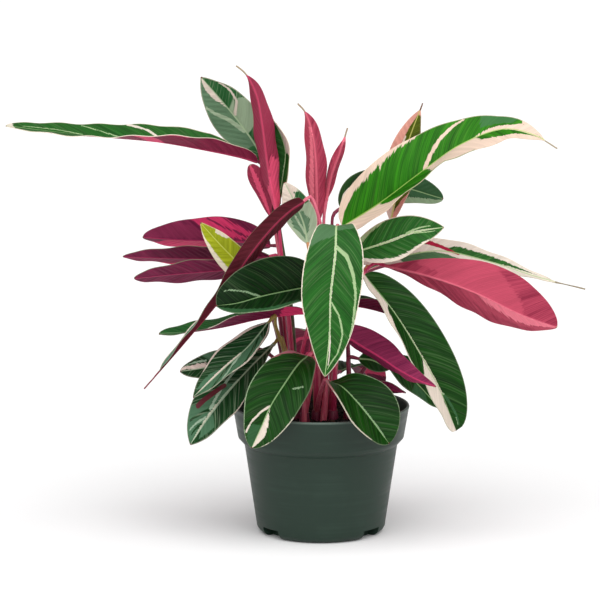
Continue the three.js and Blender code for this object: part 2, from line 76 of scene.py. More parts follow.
def linear(colour: str) -> Colour:
    """Turn an sRGB hex colour into linear light with a full alpha."""
    parts = [int(colour[i:i + 2], 16) / 255 for i in (1, 3, 5)]
    return (*(c / 12.92 if c <= 0.04045 else ((c + 0.055) / 1.055) ** 2.4 for c in parts), 1.0)


class Recipe:
    """A node material in the making, with one short method for each kind of node."""

    def __init__(self, name: str) -> None:
        """Start a node material of this name."""
        self.material = bpy.data.materials.new(name)
        self.material.use_nodes = True
        self.tree = self.material.node_tree

    def feed(self, node: bpy.types.Node, inputs: dict[int | str, object]) -> None:
        """Link or set a node's inputs.

        Args:
            node: The node.
            inputs: Socket name or number to a value, or to the output that feeds it.
        """
        for socket, value in inputs.items():
            if isinstance(value, Socket):
                self.tree.links.new(value, node.inputs[socket])
            else:
                node.inputs[socket].default_value = value

    def add_node(self, kind: str, inputs: dict[int | str, object], **settings: object) -> bpy.types.Node:
        """Add a shader node.

        Args:
            kind: The end of Blender's name of the node type.
            inputs: Socket name or number to a value, or to the output that feeds it.
            **settings: Attributes of the node.

        Returns:
            The new node.
        """
        made = self.tree.nodes.new(f"ShaderNode{kind}")
        for key, value in settings.items():
            setattr(made, key, value)
        self.feed(made, inputs)
        return made

    def place(self) -> Socket:
        """Give the place on the object, in metres."""
        return self.add_node("TexCoord", {}).outputs["Object"]

    def attribute(self, name: str, output: str = "Fac") -> Socket:
        """Give one of the mesh's attributes."""
        return self.add_node("Attribute", {}, attribute_name=name).outputs[output]

    def part(self, vector: Socket, axis: int) -> Socket:
        """Give one of a vector's three numbers."""
        return self.add_node("SeparateXYZ", {0: vector}).outputs[axis]

    def noise(
        self, vector: Socket, scale: float = 1.0, detail: float = 2.0, stretch: Point | None = None
    ) -> Socket:
        """Give a soft noise pattern.

        Args:
            vector: The place that it is read at.
            scale: How many of its cells fit in one unit.
            detail: How many finer layers it has.
            stretch: What each of the place's numbers is multiplied by first.

        Returns:
            The pattern, about 0.5 in the mean.
        """
        if stretch:
            vector = self.add_node("VectorMath", {0: vector, 1: stretch}, operation="MULTIPLY").outputs[0]
        return self.add_node("TexNoise", {"Vector": vector, "Scale": scale, "Detail": detail}).outputs["Fac"]

    def math(self, operation: str, *values: Socket | float) -> Socket:
        """Do a sum with up to three numbers."""
        return self.add_node("Math", dict(enumerate(values)), operation=operation).outputs[0]

    def span(self, value: Socket, low: float, high: float, start: float = 0.0, end: float = 1.0) -> Socket:
        """Map a span of values onto another span, held at both ends.

        Args:
            value: What is mapped.
            low: The value that gives the start.
            high: The value that gives the end.
            start: The first result.
            end: The last result.

        Returns:
            The result.
        """
        ends = {"From Min": low, "From Max": high, "To Min": start, "To Max": end}
        return self.add_node("MapRange", {"Value": value, **ends}).outputs[0]

    def mix(self, share: Socket, first: Socket | Colour, second: Socket | Colour) -> Socket:
        """Blend two colours by a share of the second."""
        return self.add_node("Mix", {0: share, 6: first, 7: second}, data_type="RGBA").outputs[2]

    def bump(self, height: Socket, strength: float, depth: float) -> Socket:
        """Raise the surface by a pattern, its depth in millimetres."""
        relief = {"Height": height, "Strength": strength, "Distance": depth * MM}
        return self.add_node("Bump", relief).outputs[0]

    def finish(self, **inputs: object) -> bpy.types.Material:
        """Feed the shader.

        Args:
            **inputs: The shader's inputs, with an underscore for each space.

        Returns:
            The material.
        """
        named = {name.replace("_", " "): value for name, value in inputs.items()}
        self.feed(self.tree.nodes["Principled BSDF"], named)
        return self.material


# Objects


def activate(*pieces: bpy.types.Object) -> None:
    """Select just these pieces and make the first one active."""
    bpy.ops.object.select_all(action="DESELECT")
    for piece in pieces:
        piece.select_set(True)
    bpy.context.view_layer.objects.active = pieces[0]


def add_object(operator: Callable, **settings: object) -> bpy.types.Object:
    """Run an operator that adds an object, and put a mesh's place in its vertices.

    Args:
        operator: One of the operators in bpy.ops.
        **settings: What the operator is given.

    Returns:
        The new object, which is the active one.
    """
    bpy.ops.object.select_all(action="DESELECT")
    operator(**settings)
    if bpy.context.object.type == "MESH":
        bpy.ops.object.transform_apply(location=True, rotation=True, scale=True)
    return bpy.context.object


def apply_modifier(piece: bpy.types.Object, kind: str, **settings: object) -> None:
    """Add a modifier to a piece and apply it.

    Args:
        piece: The object that is changed.
        kind: Blender's name of the modifier type.
        **settings: Attributes of the modifier.
    """
    activate(piece)
    modifier = piece.modifiers.new(kind.title(), kind)
    for key, value in settings.items():
        setattr(modifier, key, value)
    bpy.ops.object.modifier_apply(modifier=modifier.name)


def join(pieces: list[bpy.types.Object], name: str) -> bpy.types.Object:
    """Join objects into the first one, and name it."""
    activate(*pieces)
    bpy.ops.object.join()
    pieces[0].name = pieces[0].data.name = name
    return pieces[0]


def smooth(piece: bpy.types.Object, degrees: float) -> bpy.types.Object:
    """Shade a piece smooth where its faces meet at less than an angle."""
    activate(piece)
    bpy.ops.object.shade_smooth_by_angle(angle=math.radians(degrees))
    return piece


def coordinates(mesh: bpy.types.Mesh) -> np.ndarray:
    """Give the places of a mesh's vertices in metres, one row each."""
    places = np.zeros(len(mesh.vertices) * 3)
    mesh.vertices.foreach_get("co", places)
    return places.reshape(-1, 3)


def move(mesh: bpy.types.Mesh, places: np.ndarray) -> None:
    """Move a mesh's vertices to places in metres."""
    mesh.vertices.foreach_set("co", places.ravel())
    mesh.update()


def write_attribute(mesh: bpy.types.Mesh, name: str, values: np.ndarray) -> None:
    """Write a number or a vector for each vertex.

    Args:
        mesh: The mesh that gets the attribute.
        name: The attribute's name.
        values: One number, or one row of three, for each vertex.
    """
    kind, key = ("FLOAT", "value") if values.ndim == 1 else ("FLOAT_VECTOR", "vector")
    mesh.attributes.new(name, kind, "POINT").data.foreach_set(key, values.ravel())


def settle(piece: bpy.types.Object, node: str) -> None:
    """Put a finished piece on the part's body and report it.

    Args:
        piece: The finished object, at the origin.
        node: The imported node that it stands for.
    """
    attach(piece, BODY)
    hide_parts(node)
    faces = sum(len(face.vertices) - 2 for face in piece.data.polygons)
    LOG.info("%s stands for %s, %d triangles", piece.name, node, faces)


# Curves


def smoothstep(low: float, high: float, value: np.ndarray) -> np.ndarray:
    """Ease from 0 at low to 1 at high."""
    share = np.clip((value - low) / (high - low), 0.0, 1.0)
    return share * share * (3 - 2 * share)


def blend(entries: tuple, along: float) -> np.ndarray:
    """Give the value at a share along evenly spaced entries."""
    values = np.array(entries, float)
    if len(values) == 1:
        return values[0]
    place = along * (len(values) - 1)
    low = min(int(place), len(values) - 2)
    return values[low] + (values[low + 1] - values[low]) * (place - low)


class Curve:
    """A centripetal curve through a few points in millimetres, read by its arc length."""

    DIVISIONS = 200
    NUDGE = 1e-4

    def __init__(self, points: tuple[Point, ...]) -> None:
        """Measure the curve through these points."""
        self.points = [np.array(point, float) for point in points]
        self.shares = np.linspace(0, 1, self.DIVISIONS + 1)
        steps = np.diff([self._at(share) for share in self.shares], axis=0)
        self.lengths = np.append(0.0, np.cumsum(np.linalg.norm(steps, axis=1)))
        self.length = float(self.lengths[-1])

    def _at(self, share: float) -> np.ndarray:
        """Give the point at a share of the spans.

        Args:
            share: From 0 to 1, even in spans and not in length.

        Returns:
            The point in millimetres.
        """
        last = len(self.points) - 1
        index = min(int(share * last), last - 1)
        weight = share * last - index
        p1, p2 = self.points[index], self.points[index + 1]
        p0 = self.points[index - 1] if index > 0 else 2 * p1 - p2
        p3 = self.points[index + 2] if index + 2 <= last else 2 * p2 - p1
        d0, d1, d2 = (max(float(np.linalg.norm(b - a)) ** 0.5, 1e-4)
                      for a, b in ((p0, p1), (p1, p2), (p2, p3)))
        t1 = ((p1 - p0) / d0 - (p2 - p0) / (d0 + d1) + (p2 - p1) / d1) * d1
        t2 = ((p2 - p1) / d1 - (p3 - p1) / (d1 + d2) + (p3 - p2) / d2) * d1
        return (p1 + t1 * weight + (3 * (p2 - p1) - 2 * t1 - t2) * weight**2
                + (2 * (p1 - p2) + t1 + t2) * weight**3)

    def _share(self, along: float) -> float:
        """Turn a share of the length into a share of the spans."""
        return float(np.interp(along * self.length, self.lengths, self.shares))

    def point(self, along: float) -> np.ndarray:
        """Give the point at a share of the curve's length."""
        return self._at(self._share(along))

    def tangent(self, along: float) -> np.ndarray:
        """Give the direction at a share of the curve's length."""
        share = self._share(along)
        step = self._at(min(share + self.NUDGE, 1)) - self._at(max(share - self.NUDGE, 0))
        return step / np.linalg.norm(step)


# Leaf markings


class Tone(Enum):
    """A kind of leaf tissue that differs from the plain blade."""

    GREEN = "plain green, which clears the others"
    SAGE = "grey-green"
    MILK = "pale milky green"
    CREAM = "cream without green in it"
    BLUSH = "pink on the upper side"
    PLAIN = "plain underside, which clears the next two"
    FLUSH = "lighter underside"
    GLOW = "bright pink underside, where no green lies above"
    RUST = "dry tissue, through both sides"


UPPER_TONES = (Tone.SAGE, Tone.MILK, Tone.CREAM, Tone.BLUSH)
UNDER_TONES = (Tone.FLUSH, Tone.GLOW)


@dataclass(frozen=True)
class Flat:
    """A blade laid flat, in millimetres, and how many go to a share of length and half width."""

    x: np.ndarray
    y: np.ndarray
    scale: Spot

    def points(self, spots: tuple[Spot, ...]) -> list[Spot]:
        """Turn shares of the length and of the half width into millimetres."""
        return [(u * self.scale[0], v * self.scale[1]) for u, v in spots]

    def segment(self, start: Spot, end: Spot) -> tuple[np.ndarray, np.ndarray]:
        """Measure how far each place is from a straight segment.

        Args:
            start: The segment's first end.
            end: The segment's second end.

        Returns:
            The distances, and the share of the segment that is nearest to each place.
        """
        dx, dy = end[0] - start[0], end[1] - start[1]
        size = max(dx * dx + dy * dy, 1e-12)
        share = np.clip(((self.x - start[0]) * dx + (self.y - start[1]) * dy) / size, 0, 1)
        return np.hypot(self.x - start[0] - share * dx, self.y - start[1] - share * dy), share


@dataclass(frozen=True)
class Patch:
    """A closed area of one tone, by its corners.

    An area that lies on one side of the midrib ends sharply at it: corners nearer to it
    than rib_reach are moved across it, and the edge there is as firm as rib_firmness.
    """

    tone: Tone
    corners: tuple[Spot, ...]
    rib_reach: float = 0.07
    across_rib: float = 0.4
    rib_firmness: float = 6.0

    def distance(self, flat: Flat) -> np.ndarray:
        """Give the distance to the area's edge in millimetres, negative inside it.

        Args:
            flat: The blade laid flat.

        Returns:
            The signed distance at each place.
        """
        across = [v for _, v in self.corners]
        side = 1 if min(across) >= 0 else -1 if max(across) <= 0 else 0
        points = flat.points(tuple(
            (u, -self.across_rib * side if side and abs(v) < self.rib_reach else v)
            for u, v in self.corners))
        nearest = np.full(flat.x.shape, np.inf)
        inside = np.zeros(flat.x.shape, bool)
        for (ax, ay), (bx, by) in zip(points, points[1:] + points[:1]):
            nearest = np.minimum(nearest, flat.segment((ax, ay), (bx, by))[0])
            if ay != by:
                crosses = (ay > flat.y) != (by > flat.y)
                inside ^= crosses & (flat.x < (bx - ax) * (flat.y - ay) / (by - ay) + ax)
        signed = np.where(inside, -nearest, nearest)
        return np.maximum(signed, -side * flat.y * self.rib_firmness) if side else signed


@dataclass(frozen=True)
class Streak:
    """A narrow streak of one tone along a few spots, tapered between two half widths.

    Its firmness makes its edge fray less than a patch's does, and its spread keeps the
    thinnest streaks whole on the blade's mesh.
    """

    tone: Tone
    start: float
    end: float
    spots: tuple[Spot, ...]
    firmness: float = 2.4
    spread: float = 0.3

    def distance(self, flat: Flat) -> np.ndarray:
        """Give the distance to the streak's edge in millimetres, negative inside it.

        Args:
            flat: The blade laid flat.

        Returns:
            The signed distance at each place.
        """
        points = flat.points(self.spots)
        spans = len(points) - 1
        nearest = np.full(flat.x.shape, np.inf)
        for index in range(spans):
            away, share = flat.segment(points[index], points[index + 1])
            reach = self.start + (self.end - self.start) * (index + share) / spans
            nearest = np.minimum(nearest, away - reach - self.spread)
        return nearest * self.firmness


Mark = Patch | Streak


def patch(tone: Tone, *corners: Spot) -> Patch:
    """Make an area of one tone from its corners."""
    return Patch(tone, corners)


def whole(tone: Tone, start: float = -0.05) -> Patch:
    """Make one tone cover a blade from a share of its length to the tip."""
    return Patch(tone, ((start, -1.2), (1.05, -1.2), (1.05, 1.2), (start, 1.2)))


def streak(tone: Tone, start: float, end: float, *spots: Spot) -> Streak:
    """Make a streak of one tone from its two half widths and its spots."""
    return Streak(tone, start, end, spots)


def paint(marks: tuple[Mark, ...], flat: Flat) -> dict[Tone, np.ndarray]:
    """Lay marks over each other, the later ones on top.

    Args:
        marks: The leaf's marks.
        flat: The blade laid flat.

    Returns:
        For each tone the signed distance to its edge, negative inside it.
    """
    far = 30.0
    fields = {tone: np.full(flat.x.shape, far) for tone in (*UPPER_TONES, *UNDER_TONES, Tone.RUST)}
    own_underside = False
    for mark in marks:
        away = mark.distance(flat)
        under = mark.tone in (*UNDER_TONES, Tone.PLAIN)
        own_underside |= under
        if mark.tone in fields:
            fields[mark.tone] = np.minimum(fields[mark.tone], away)
        if mark.tone is not Tone.RUST:
            for tone in set(UNDER_TONES if under else UPPER_TONES) - {mark.tone}:
                fields[tone] = np.maximum(fields[tone], -away)
    if not own_underside:
        fields[Tone.GLOW] = fields[Tone.CREAM].copy()
        fields[Tone.FLUSH] = np.minimum(fields[Tone.SAGE], fields[Tone.MILK])
    return fields


# Leaf finishes


@dataclass(frozen=True)
class LeafFinish:
    """Living leaf tissue: a waxy upper side, and an underside coloured by anthocyanin.

    Wax gives the upper side a soft sheen, so its IOR is 1.45 and its roughness about
    0.4. The underside is duller. Lateral veins lie 2.3 mm apart and pleats 6.5 mm apart.

    Attributes:
        name: The kind of tissue, in the materials' names.
        green: The upper side's dark colour, with light for its light one.
        sage: The upper side's tones, with milk, cream and blush.
        rib: The midrib's colour on the upper side, with margin for the thin rim.
        under: The underside's dark colour, with flush for its light one and glow for its
            midrib.
        dry: The colour of dry tissue.
        rim: How strongly the thin rim shows.
        fray: How far the edges of the markings fray along the veins, in millimetres.
        streaky: How strongly thin milky streaks show in the green of the upper side.
        slot: The record's material slot, which is not used here.
    """

    # What millimetres along the midrib and along the veins are multiplied by: streaks are
    # about 1.5 mm across and 30 mm long, bands of lighter tissue 5 mm across.
    STREAKS = (0.62, 0.035, 1.0)
    BANDS = (0.2, 0.012, 1.0)
    MILKY_STREAKS = (0.6, 0.02, 2.0)
    VEIN_PITCH = 2.3
    WAX_IOR = 1.45

    name: str
    green: str
    light: str
    sage: str
    milk: str
    cream: str
    blush: str
    rib: str
    margin: str
    under: str
    flush: str
    glow: str
    dry: str = "#6b4630"
    rim: float = 0.7
    fray: float = 1.3
    streaky: float = 0.0
    slot: str = "leaf_green"

    def upper(self) -> bpy.types.Material:
        """Make the upper side's material."""
        base, tones = (self.green, self.light), ("sage", "milk", "cream", "blush")
        return self._side("upper", base, tones, (self.rib, 0.85), self.margin, 0.42)

    def underside(self) -> bpy.types.Material:
        """Make the underside's material."""
        base, tones = (self.under, self.flush), ("flush", "glow")
        return self._side("under", base, tones, (self.glow, 0.4), self.flush, 0.55)

    def _side(
        self, side: str, base: tuple[str, str], tones: tuple[str, ...], rib: tuple[str, float],
        margin: str, roughness: float,
    ) -> bpy.types.Material:
        """Make one side's material from its plain tissue and the tones over it.

        Args:
            side: The word that ends the material's name.
            base: The plain tissue's dark and light colour.
            tones: The tones, the lowest first.
            rib: The midrib's colour and how strongly it shows.
            margin: The colour of the thin rim.
            roughness: Mean roughness.

        Returns:
            The material.
        """
        made = Recipe(f"leaf_tissue_{self.name}_{side}")
        vein = made.attribute("vein", "Vector")
        streaks = made.noise(vein, detail=3.0, stretch=self.STREAKS)
        bands = made.noise(vein, stretch=self.BANDS)
        fray = made.span(streaks, 0.25, 0.75, -self.fray, self.fray)
        lines = made.math("SINE", made.math("MULTIPLY", made.part(vein, 0), math.tau / self.VEIN_PITCH))
        lightness = made.math("MULTIPLY_ADD", lines, 0.06, bands)
        share = made.span(made.math("MULTIPLY_ADD", streaks, 0.55, lightness), 0.5, 1.05, 0.1, 0.88)
        colour = made.mix(share, linear(base[0]), linear(base[1]))
        if side == "upper":
            # Milky streaks run between the veins out to the rim.
            pale = made.noise(vein, detail=2.5, stretch=self.MILKY_STREAKS)
            colour = made.mix(made.span(pale, 0.53, 0.68, end=self.streaky), colour, linear(self.rib))
        for tone in tones:
            away = made.math("ADD", made.attribute(tone), fray)
            light = linear(getattr(self, tone))
            # Each tone is mottled along its veins by the same streaks.
            mottled = made.mix(share, (*(c * 0.72 for c in light[:3]), 1.0), light)
            colour = made.mix(made.span(away, -0.4, 0.4, 1.0, 0.0), colour, mottled)
        for name, shade, low, high, strength in (
            ("rib", rib[0], 0.7, 1.5, rib[1]), ("edge", margin, 0.35, 0.9, self.rim),
            ("rust", self.dry, 0.0, 0.8, 0.95),
        ):
            mask = made.span(made.attribute(name), low, high, strength, 0.0)
            colour = made.mix(mask, colour, linear(shade))
        relief = made.math("MULTIPLY_ADD", lines, 0.3, streaks)
        return made.finish(
            Base_Color=colour, Roughness=made.span(streaks, 0, 1, roughness - 0.08, roughness + 0.1),
            Normal=made.bump(relief, 0.25, 0.3), IOR=self.WAX_IOR, Specular_IOR_Level=0.14)


class Finish(Enum):
    """The kinds of leaf on this plant; two of them are darker copies that carry painted shade."""

    DEEP = LeafFinish(
        "deep_green", "#041803", "#164c0c", "#335e38", "#8ca882", "#e8d9ca", "#b86a78", "#8fb07a",
        "#8f9c7c", "#4e0f2a", "#7a2444", "#e0406c", dry="#5c2824", rim=0.4, streaky=0.1)
    # A darker copy of the deep green: painted shade for a leaf that lies in the shade of other leaves.
    DEEP_SHADED = replace(DEEP, name="deep_green_painted_shade", green="#020c03", light="#0e360c", streaky=0.08)
    STREAKED = replace(
        DEEP, name="streaked_green", green="#08220f", light="#1a4a20", sage="#4c7556", milk="#9db79c",
        cream="#e6d3c6", rib="#a3b898", margin="#a8a592", dry="#5e1e2a", rim=0.6, streaky=0.32,
        slot="leaf_variegated")
    FRESH = LeafFinish(
        "fresh_green", "#0a3c02", "#369010", "#3f7840", "#aec48a", "#f0d4c0", "#e39088", "#a8c86a",
        "#dfc9ae", "#5c1230", "#8a2a4c", "#e84a72", dry="#a89880", rim=0.5, fray=2.0, streaky=0.06)
    MEADOW = LeafFinish(
        "meadow_green", "#0f3a0d", "#2a6d24", "#50784f", "#a8c48f", "#ebdfd0", "#b01c40", "#a0c084",
        "#e2d5c0", "#6a1734", "#94304e", "#e8507a", dry="#94866f", rim=0.8, streaky=0.12)
    SAGE = LeafFinish(
        "sage_green", "#184820", "#37703f", "#668767", "#a8bc9c", "#ead9ca", "#d58f90", "#aec29c",
        "#cfc3b0", "#6c1736", "#9a3352", "#e84a74", dry="#6a2028", rim=0.6, streaky=0.4,
        slot="leaf_variegated")
    MAROON = LeafFinish(
        "maroon", "#14381a", "#2b6630", "#486f54", "#93ab8c", "#e6dccb", "#c4838a", "#8fb07e",
        "#b09c8c", "#581034", "#943056", "#ea4074", rim=0.3, fray=3.0, slot="leaf_maroon")
    # A copy of the maroon with a darker underside, which is painted shade; its greens, pink midrib and dry
    # tissue differ too.
    MAROON_SHADED = replace(
        MAROON, name="dark_maroon_painted_shade", sage="#5c7f68", milk="#a9bd9c", under="#34080f", flush="#5e1a28",
        glow="#c03a5e", dry="#7a2c3a", fray=1.3)
    CRIMSON = LeafFinish(
        "crimson", "#1f5228", "#40764a", "#4f7257", "#a9bda0", "#ead9ca", "#d58f90", "#b9cbab",
        "#c98a90", "#661c30", "#a03450", "#e85478", dry="#a8987c", rim=0.3, fray=3.0, slot="leaf_pink")
    ROSE = replace(
        CRIMSON, name="rose", margin="#d9b9ae", under="#7a1c36", flush="#c44c64", glow="#ff8498",
        rim=0.35, fray=3.5)
    OLIVE = LeafFinish(
        "olive_green", "#323f08", "#66761a", "#6f7f45", "#b9c08a", "#f3dccb", "#eaa594", "#c3c46a",
        "#e6c4b0", "#8c3a3a", "#b8604c", "#e89a80", rim=0.4, fray=0.6, slot="leaf_yellow_green")
    LIME = replace(
        OLIVE, name="yellow_green", green="#808a12", light="#b8bf2a", sage="#8c9a55", milk="#c3cc8a",
        cream="#f2e4ce", blush="#e8a088", rib="#cfd464", margin="#e6cdb0", under="#8c4a3a", flush="#b86a4c")


# Stalks and leaves


@dataclass(frozen=True)
class StemFinish:
    """A fleshy living stalk: satin skin, IOR 1.45, with fine streaks along it.

    The foot is darker than the top. Streaks are 0.8 mm across and 25 mm long.
    """

    STREAKS = (1200.0, 1200.0, 40.0)
    BLOTCHES = 45.0

    name: str
    foot: str
    top: str
    fleck: str

    def material(self) -> bpy.types.Material:
        """Make the stalk's material."""
        made = Recipe(f"stalk_skin_{self.name}")
        place = made.place()
        streaks = made.noise(place, stretch=self.STREAKS)
        rise = made.math("MULTIPLY_ADD", made.noise(place, self.BLOTCHES), 0.5, made.attribute("rise"))
        body = made.mix(made.span(rise, 0.2, 1.2), linear(self.foot), linear(self.top))
        colour = made.mix(made.span(streaks, 0.5, 0.72, end=0.45), body, linear(self.fleck))
        return made.finish(
            Base_Color=colour, Roughness=0.42, Normal=made.bump(streaks, 0.3, 0.3), IOR=1.45)


class Stem(Enum):
    """The colours of the stalks."""

    CRIMSON = StemFinish("crimson", "#981a40", "#c8305f", "#ee7494")
    ROSE = StemFinish("rose", "#c24860", "#d4607a", "#f4aaa2")
    MAROON = StemFinish("maroon", "#561028", "#801e40", "#ac5068")
    OLIVE = StemFinish("olive", "#6d3b26", "#8c7a38", "#b89a5a")
    ORANGE = StemFinish("orange", "#8c3a36", "#c98a58", "#e2b184")
    GREEN = StemFinish("green", "#4a3a28", "#3c5a36", "#7c9a62")


@dataclass(frozen=True)
class Leaf:
    """One leaf: its blade's midrib, width, folds and markings, and the way its stalk takes.

    The stalk grows from the crown through the stalk points to the root of the midrib.
    The face entries say where the upper side looks at, from root to tip.
    """

    name: str
    shoot: str
    finish: Finish
    width: float
    fold: tuple[float, ...]
    rib: tuple[Point, ...]
    face: tuple[Point, ...]
    stalk: tuple[Point, ...]
    stem: Stem
    widest: float = 0.46
    full: float = 0.75
    tail: float = 0.0
    marks: tuple[Mark, ...] = ()
    root_half: float = 1.7
    tip_half: float = 0.5

    def half_width(self, along: float) -> float:
        """Give half the blade's width at a share of its length, in millimetres."""
        body = min(along / (1 - self.tail), 1.0)
        power = math.log(0.5) / math.log(self.widest)
        outline = max(math.sin(math.pi * body**power), 0.0) ** self.full
        least = self.root_half + (self.tip_half - self.root_half) * along
        return max(least, self.width / 2 * outline)

    def section(self, curve: Curve, along: float) -> tuple:
        """Give the blade's section at a share of its length.

        Args:
            curve: The midrib.
            along: Share of the midrib's length.

        Returns:
            The middle, the upward and sideways directions, the fold and the half width.
        """
        ahead = curve.tangent(along)
        upward = blend(self.face, along)
        upward = upward - ahead * float(upward @ ahead)
        upward /= np.linalg.norm(upward)
        fold = math.radians(float(blend(self.fold, along)))
        return curve.point(along), upward, np.cross(ahead, upward), fold, self.half_width(along)


@dataclass
class BladeBuilder:
    """Builds leaf blades as thin closed skins with a midrib, pleats and a wavy rim.

    Lengths and pitches are millimetres. Turns are added to a pattern for each next leaf
    and for a leaf's second half, so that no two halves are alike.
    """

    columns: int = 116
    rows: int = 38
    row_crowding: float = 1.2
    edge_thickness: float = 0.6
    rib_thickness: float = 0.9
    root_thickness: float = 2.2
    keel: float = 0.8
    groove: float = 0.45
    rib_reach: float = 1.2
    rib_halves: Spot = (0.85, 0.35)
    keel_fade: float = 0.6
    root_share: float = 0.05
    vein_slant: float = 0.85
    vein_curve: float = 0.3
    vein_stretch: float = 1.25
    vein_turns: Spot = (7.3, 3.1)
    calm_root: float = 0.12
    calm_tip: float = 0.86
    pleat: float = 0.26
    pleat_pitch: float = 6.5
    pleat_start: Spot = (1.5, 5.0)
    pleat_end: float = 0.75
    wave: float = 0.8
    wave_pitch: float = 37.0
    wave_turns: Spot = (1.7, 2.1)
    dry_tip: float = 0.7
    dry_tail: float = 0.9
    materials: dict[Finish, tuple[bpy.types.Material, bpy.types.Material]] = field(default_factory=dict)

    def build(self, leaf: Leaf, order: int) -> bpy.types.Object:
        """Build one blade.

        Args:
            leaf: What the leaf is like.
            order: The leaf's place in the table, which sets where its waves and streaks fall.

        Returns:
            The finished piece.
        """
        piece = add_object(
            bpy.ops.mesh.primitive_grid_add, x_subdivisions=self.columns, y_subdivisions=self.rows, size=2)
        piece.name = piece.data.name = leaf.name.replace("leaf", "blade")
        spots = coordinates(piece.data)
        if leaf.finish not in self.materials:
            self.materials[leaf.finish] = (leaf.finish.value.upper(), leaf.finish.value.underside())
        for material in self.materials[leaf.finish]:
            piece.data.materials.append(material)
        apply_modifier(piece, "SOLIDIFY", thickness=0.1, offset=-1.0, use_rim=True, material_offset=1)
        self._shape(piece.data, leaf, order, spots)
        return smooth(piece, 50)

    def _shape(self, mesh: bpy.types.Mesh, leaf: Leaf, order: int, spots: np.ndarray) -> None:
        """Move the vertices of both skins to their places and write the attributes.

        Args:
            mesh: The blade, whose upper skin's vertices come first.
            leaf: What the leaf is like.
            order: The leaf's place in the table.
            spots: The flat grid's places, from -1 to 1 each way.
        """
        curve = Curve(leaf.rib)
        length = curve.length
        along = np.round((spots[:, 0] + 1) / 2, 6)
        # The grid's second axis runs against the sideways direction, so faces look outwards.
        across = -np.sign(spots[:, 1]) * np.abs(spots[:, 1]) ** self.row_crowding
        rim = np.abs(across)
        stations, row = np.unique(along, return_inverse=True)
        middle, upward, sideways, fold, reach = (
            np.array(rows)[row] for rows in zip(*(leaf.section(curve, float(s)) for s in stations)))
        distance = rim * reach
        lean = fold * np.sign(across)
        normal = upward * np.cos(lean)[:, None] - sideways * np.sin(lean)[:, None]
        half, second = leaf.width / 2, across > 0
        bend = self.vein_curve * distance**2 / max(half, 1)
        vein_place = along * length - self.vein_slant * distance - bend
        ends = smoothstep(0.0, self.calm_root, along) * (1 - smoothstep(self.calm_tip, 1.0, along))
        turn = order * self.wave_turns[0] + second * self.wave_turns[1]
        wave = self.wave * ends * rim**3 * np.sin(math.tau * along * length / self.wave_pitch + turn)
        pleat = (self.pleat * ends * np.sin(math.tau * vein_place / self.pleat_pitch)
                 * smoothstep(*self.pleat_start, distance) * (1 - smoothstep(self.pleat_end, 1.0, rim)))
        near_rib = np.exp(-(distance / self.rib_reach) ** 2)
        plain = self.rib_thickness + (self.edge_thickness - self.rib_thickness) * rim
        root = np.clip(1 - along / self.root_share, 0, 1) * (1 - rim * 0.6)
        thickness = plain + (self.root_thickness - plain) * root
        core = (middle + sideways * (across * reach * np.cos(fold))[:, None]
                + upward * (distance * np.sin(fold))[:, None] + normal * (wave + pleat)[:, None])
        groove = self.groove * near_rib * ends
        keel = self.keel * (1 - self.keel_fade * along) * near_rib
        upper = core + normal * (thickness / 2 - groove)[:, None]
        under = core - normal * (thickness / 2 + keel)[:, None]
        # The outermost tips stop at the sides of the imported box.
        move(mesh, np.clip(np.concatenate([upper, under]) * MM, *CAD_BOX))
        fields = paint(leaf.marks, Flat(along * length, across * half, (length, half)))
        dry = self.dry_tip + self.dry_tail * leaf.tail * length
        fields[Tone.RUST] = np.minimum(fields[Tone.RUST], np.hypot((1 - along) * length, distance) - dry)
        numbers = {tone.name.lower(): values for tone, values in fields.items()}
        numbers["rib"] = distance / (self.rib_halves[0] + (self.rib_halves[1] - self.rib_halves[0]) * along)
        numbers["edge"] = reach - distance
        for name, values in numbers.items():
            write_attribute(mesh, name, np.tile(values, 2))
        turn = order * self.vein_turns[0] + second * self.vein_turns[1]
        vein = np.stack([vein_place, distance * self.vein_stretch, turn], 1)
        write_attribute(mesh, "vein", np.tile(vein, (2, 1)))


@dataclass(frozen=True)
class Sheath:
    """A pointed scale leaf that wraps the foot of a shoot, from its foot to its tip."""

    foot: Point
    tip: Point
    width: float
    look: Stem


@dataclass(frozen=True)
class Shoot:
    """A shoot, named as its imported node, with its crown's place and its sheaths."""

    name: str
    crown: Spot
    sheaths: tuple[Sheath, ...] = ()


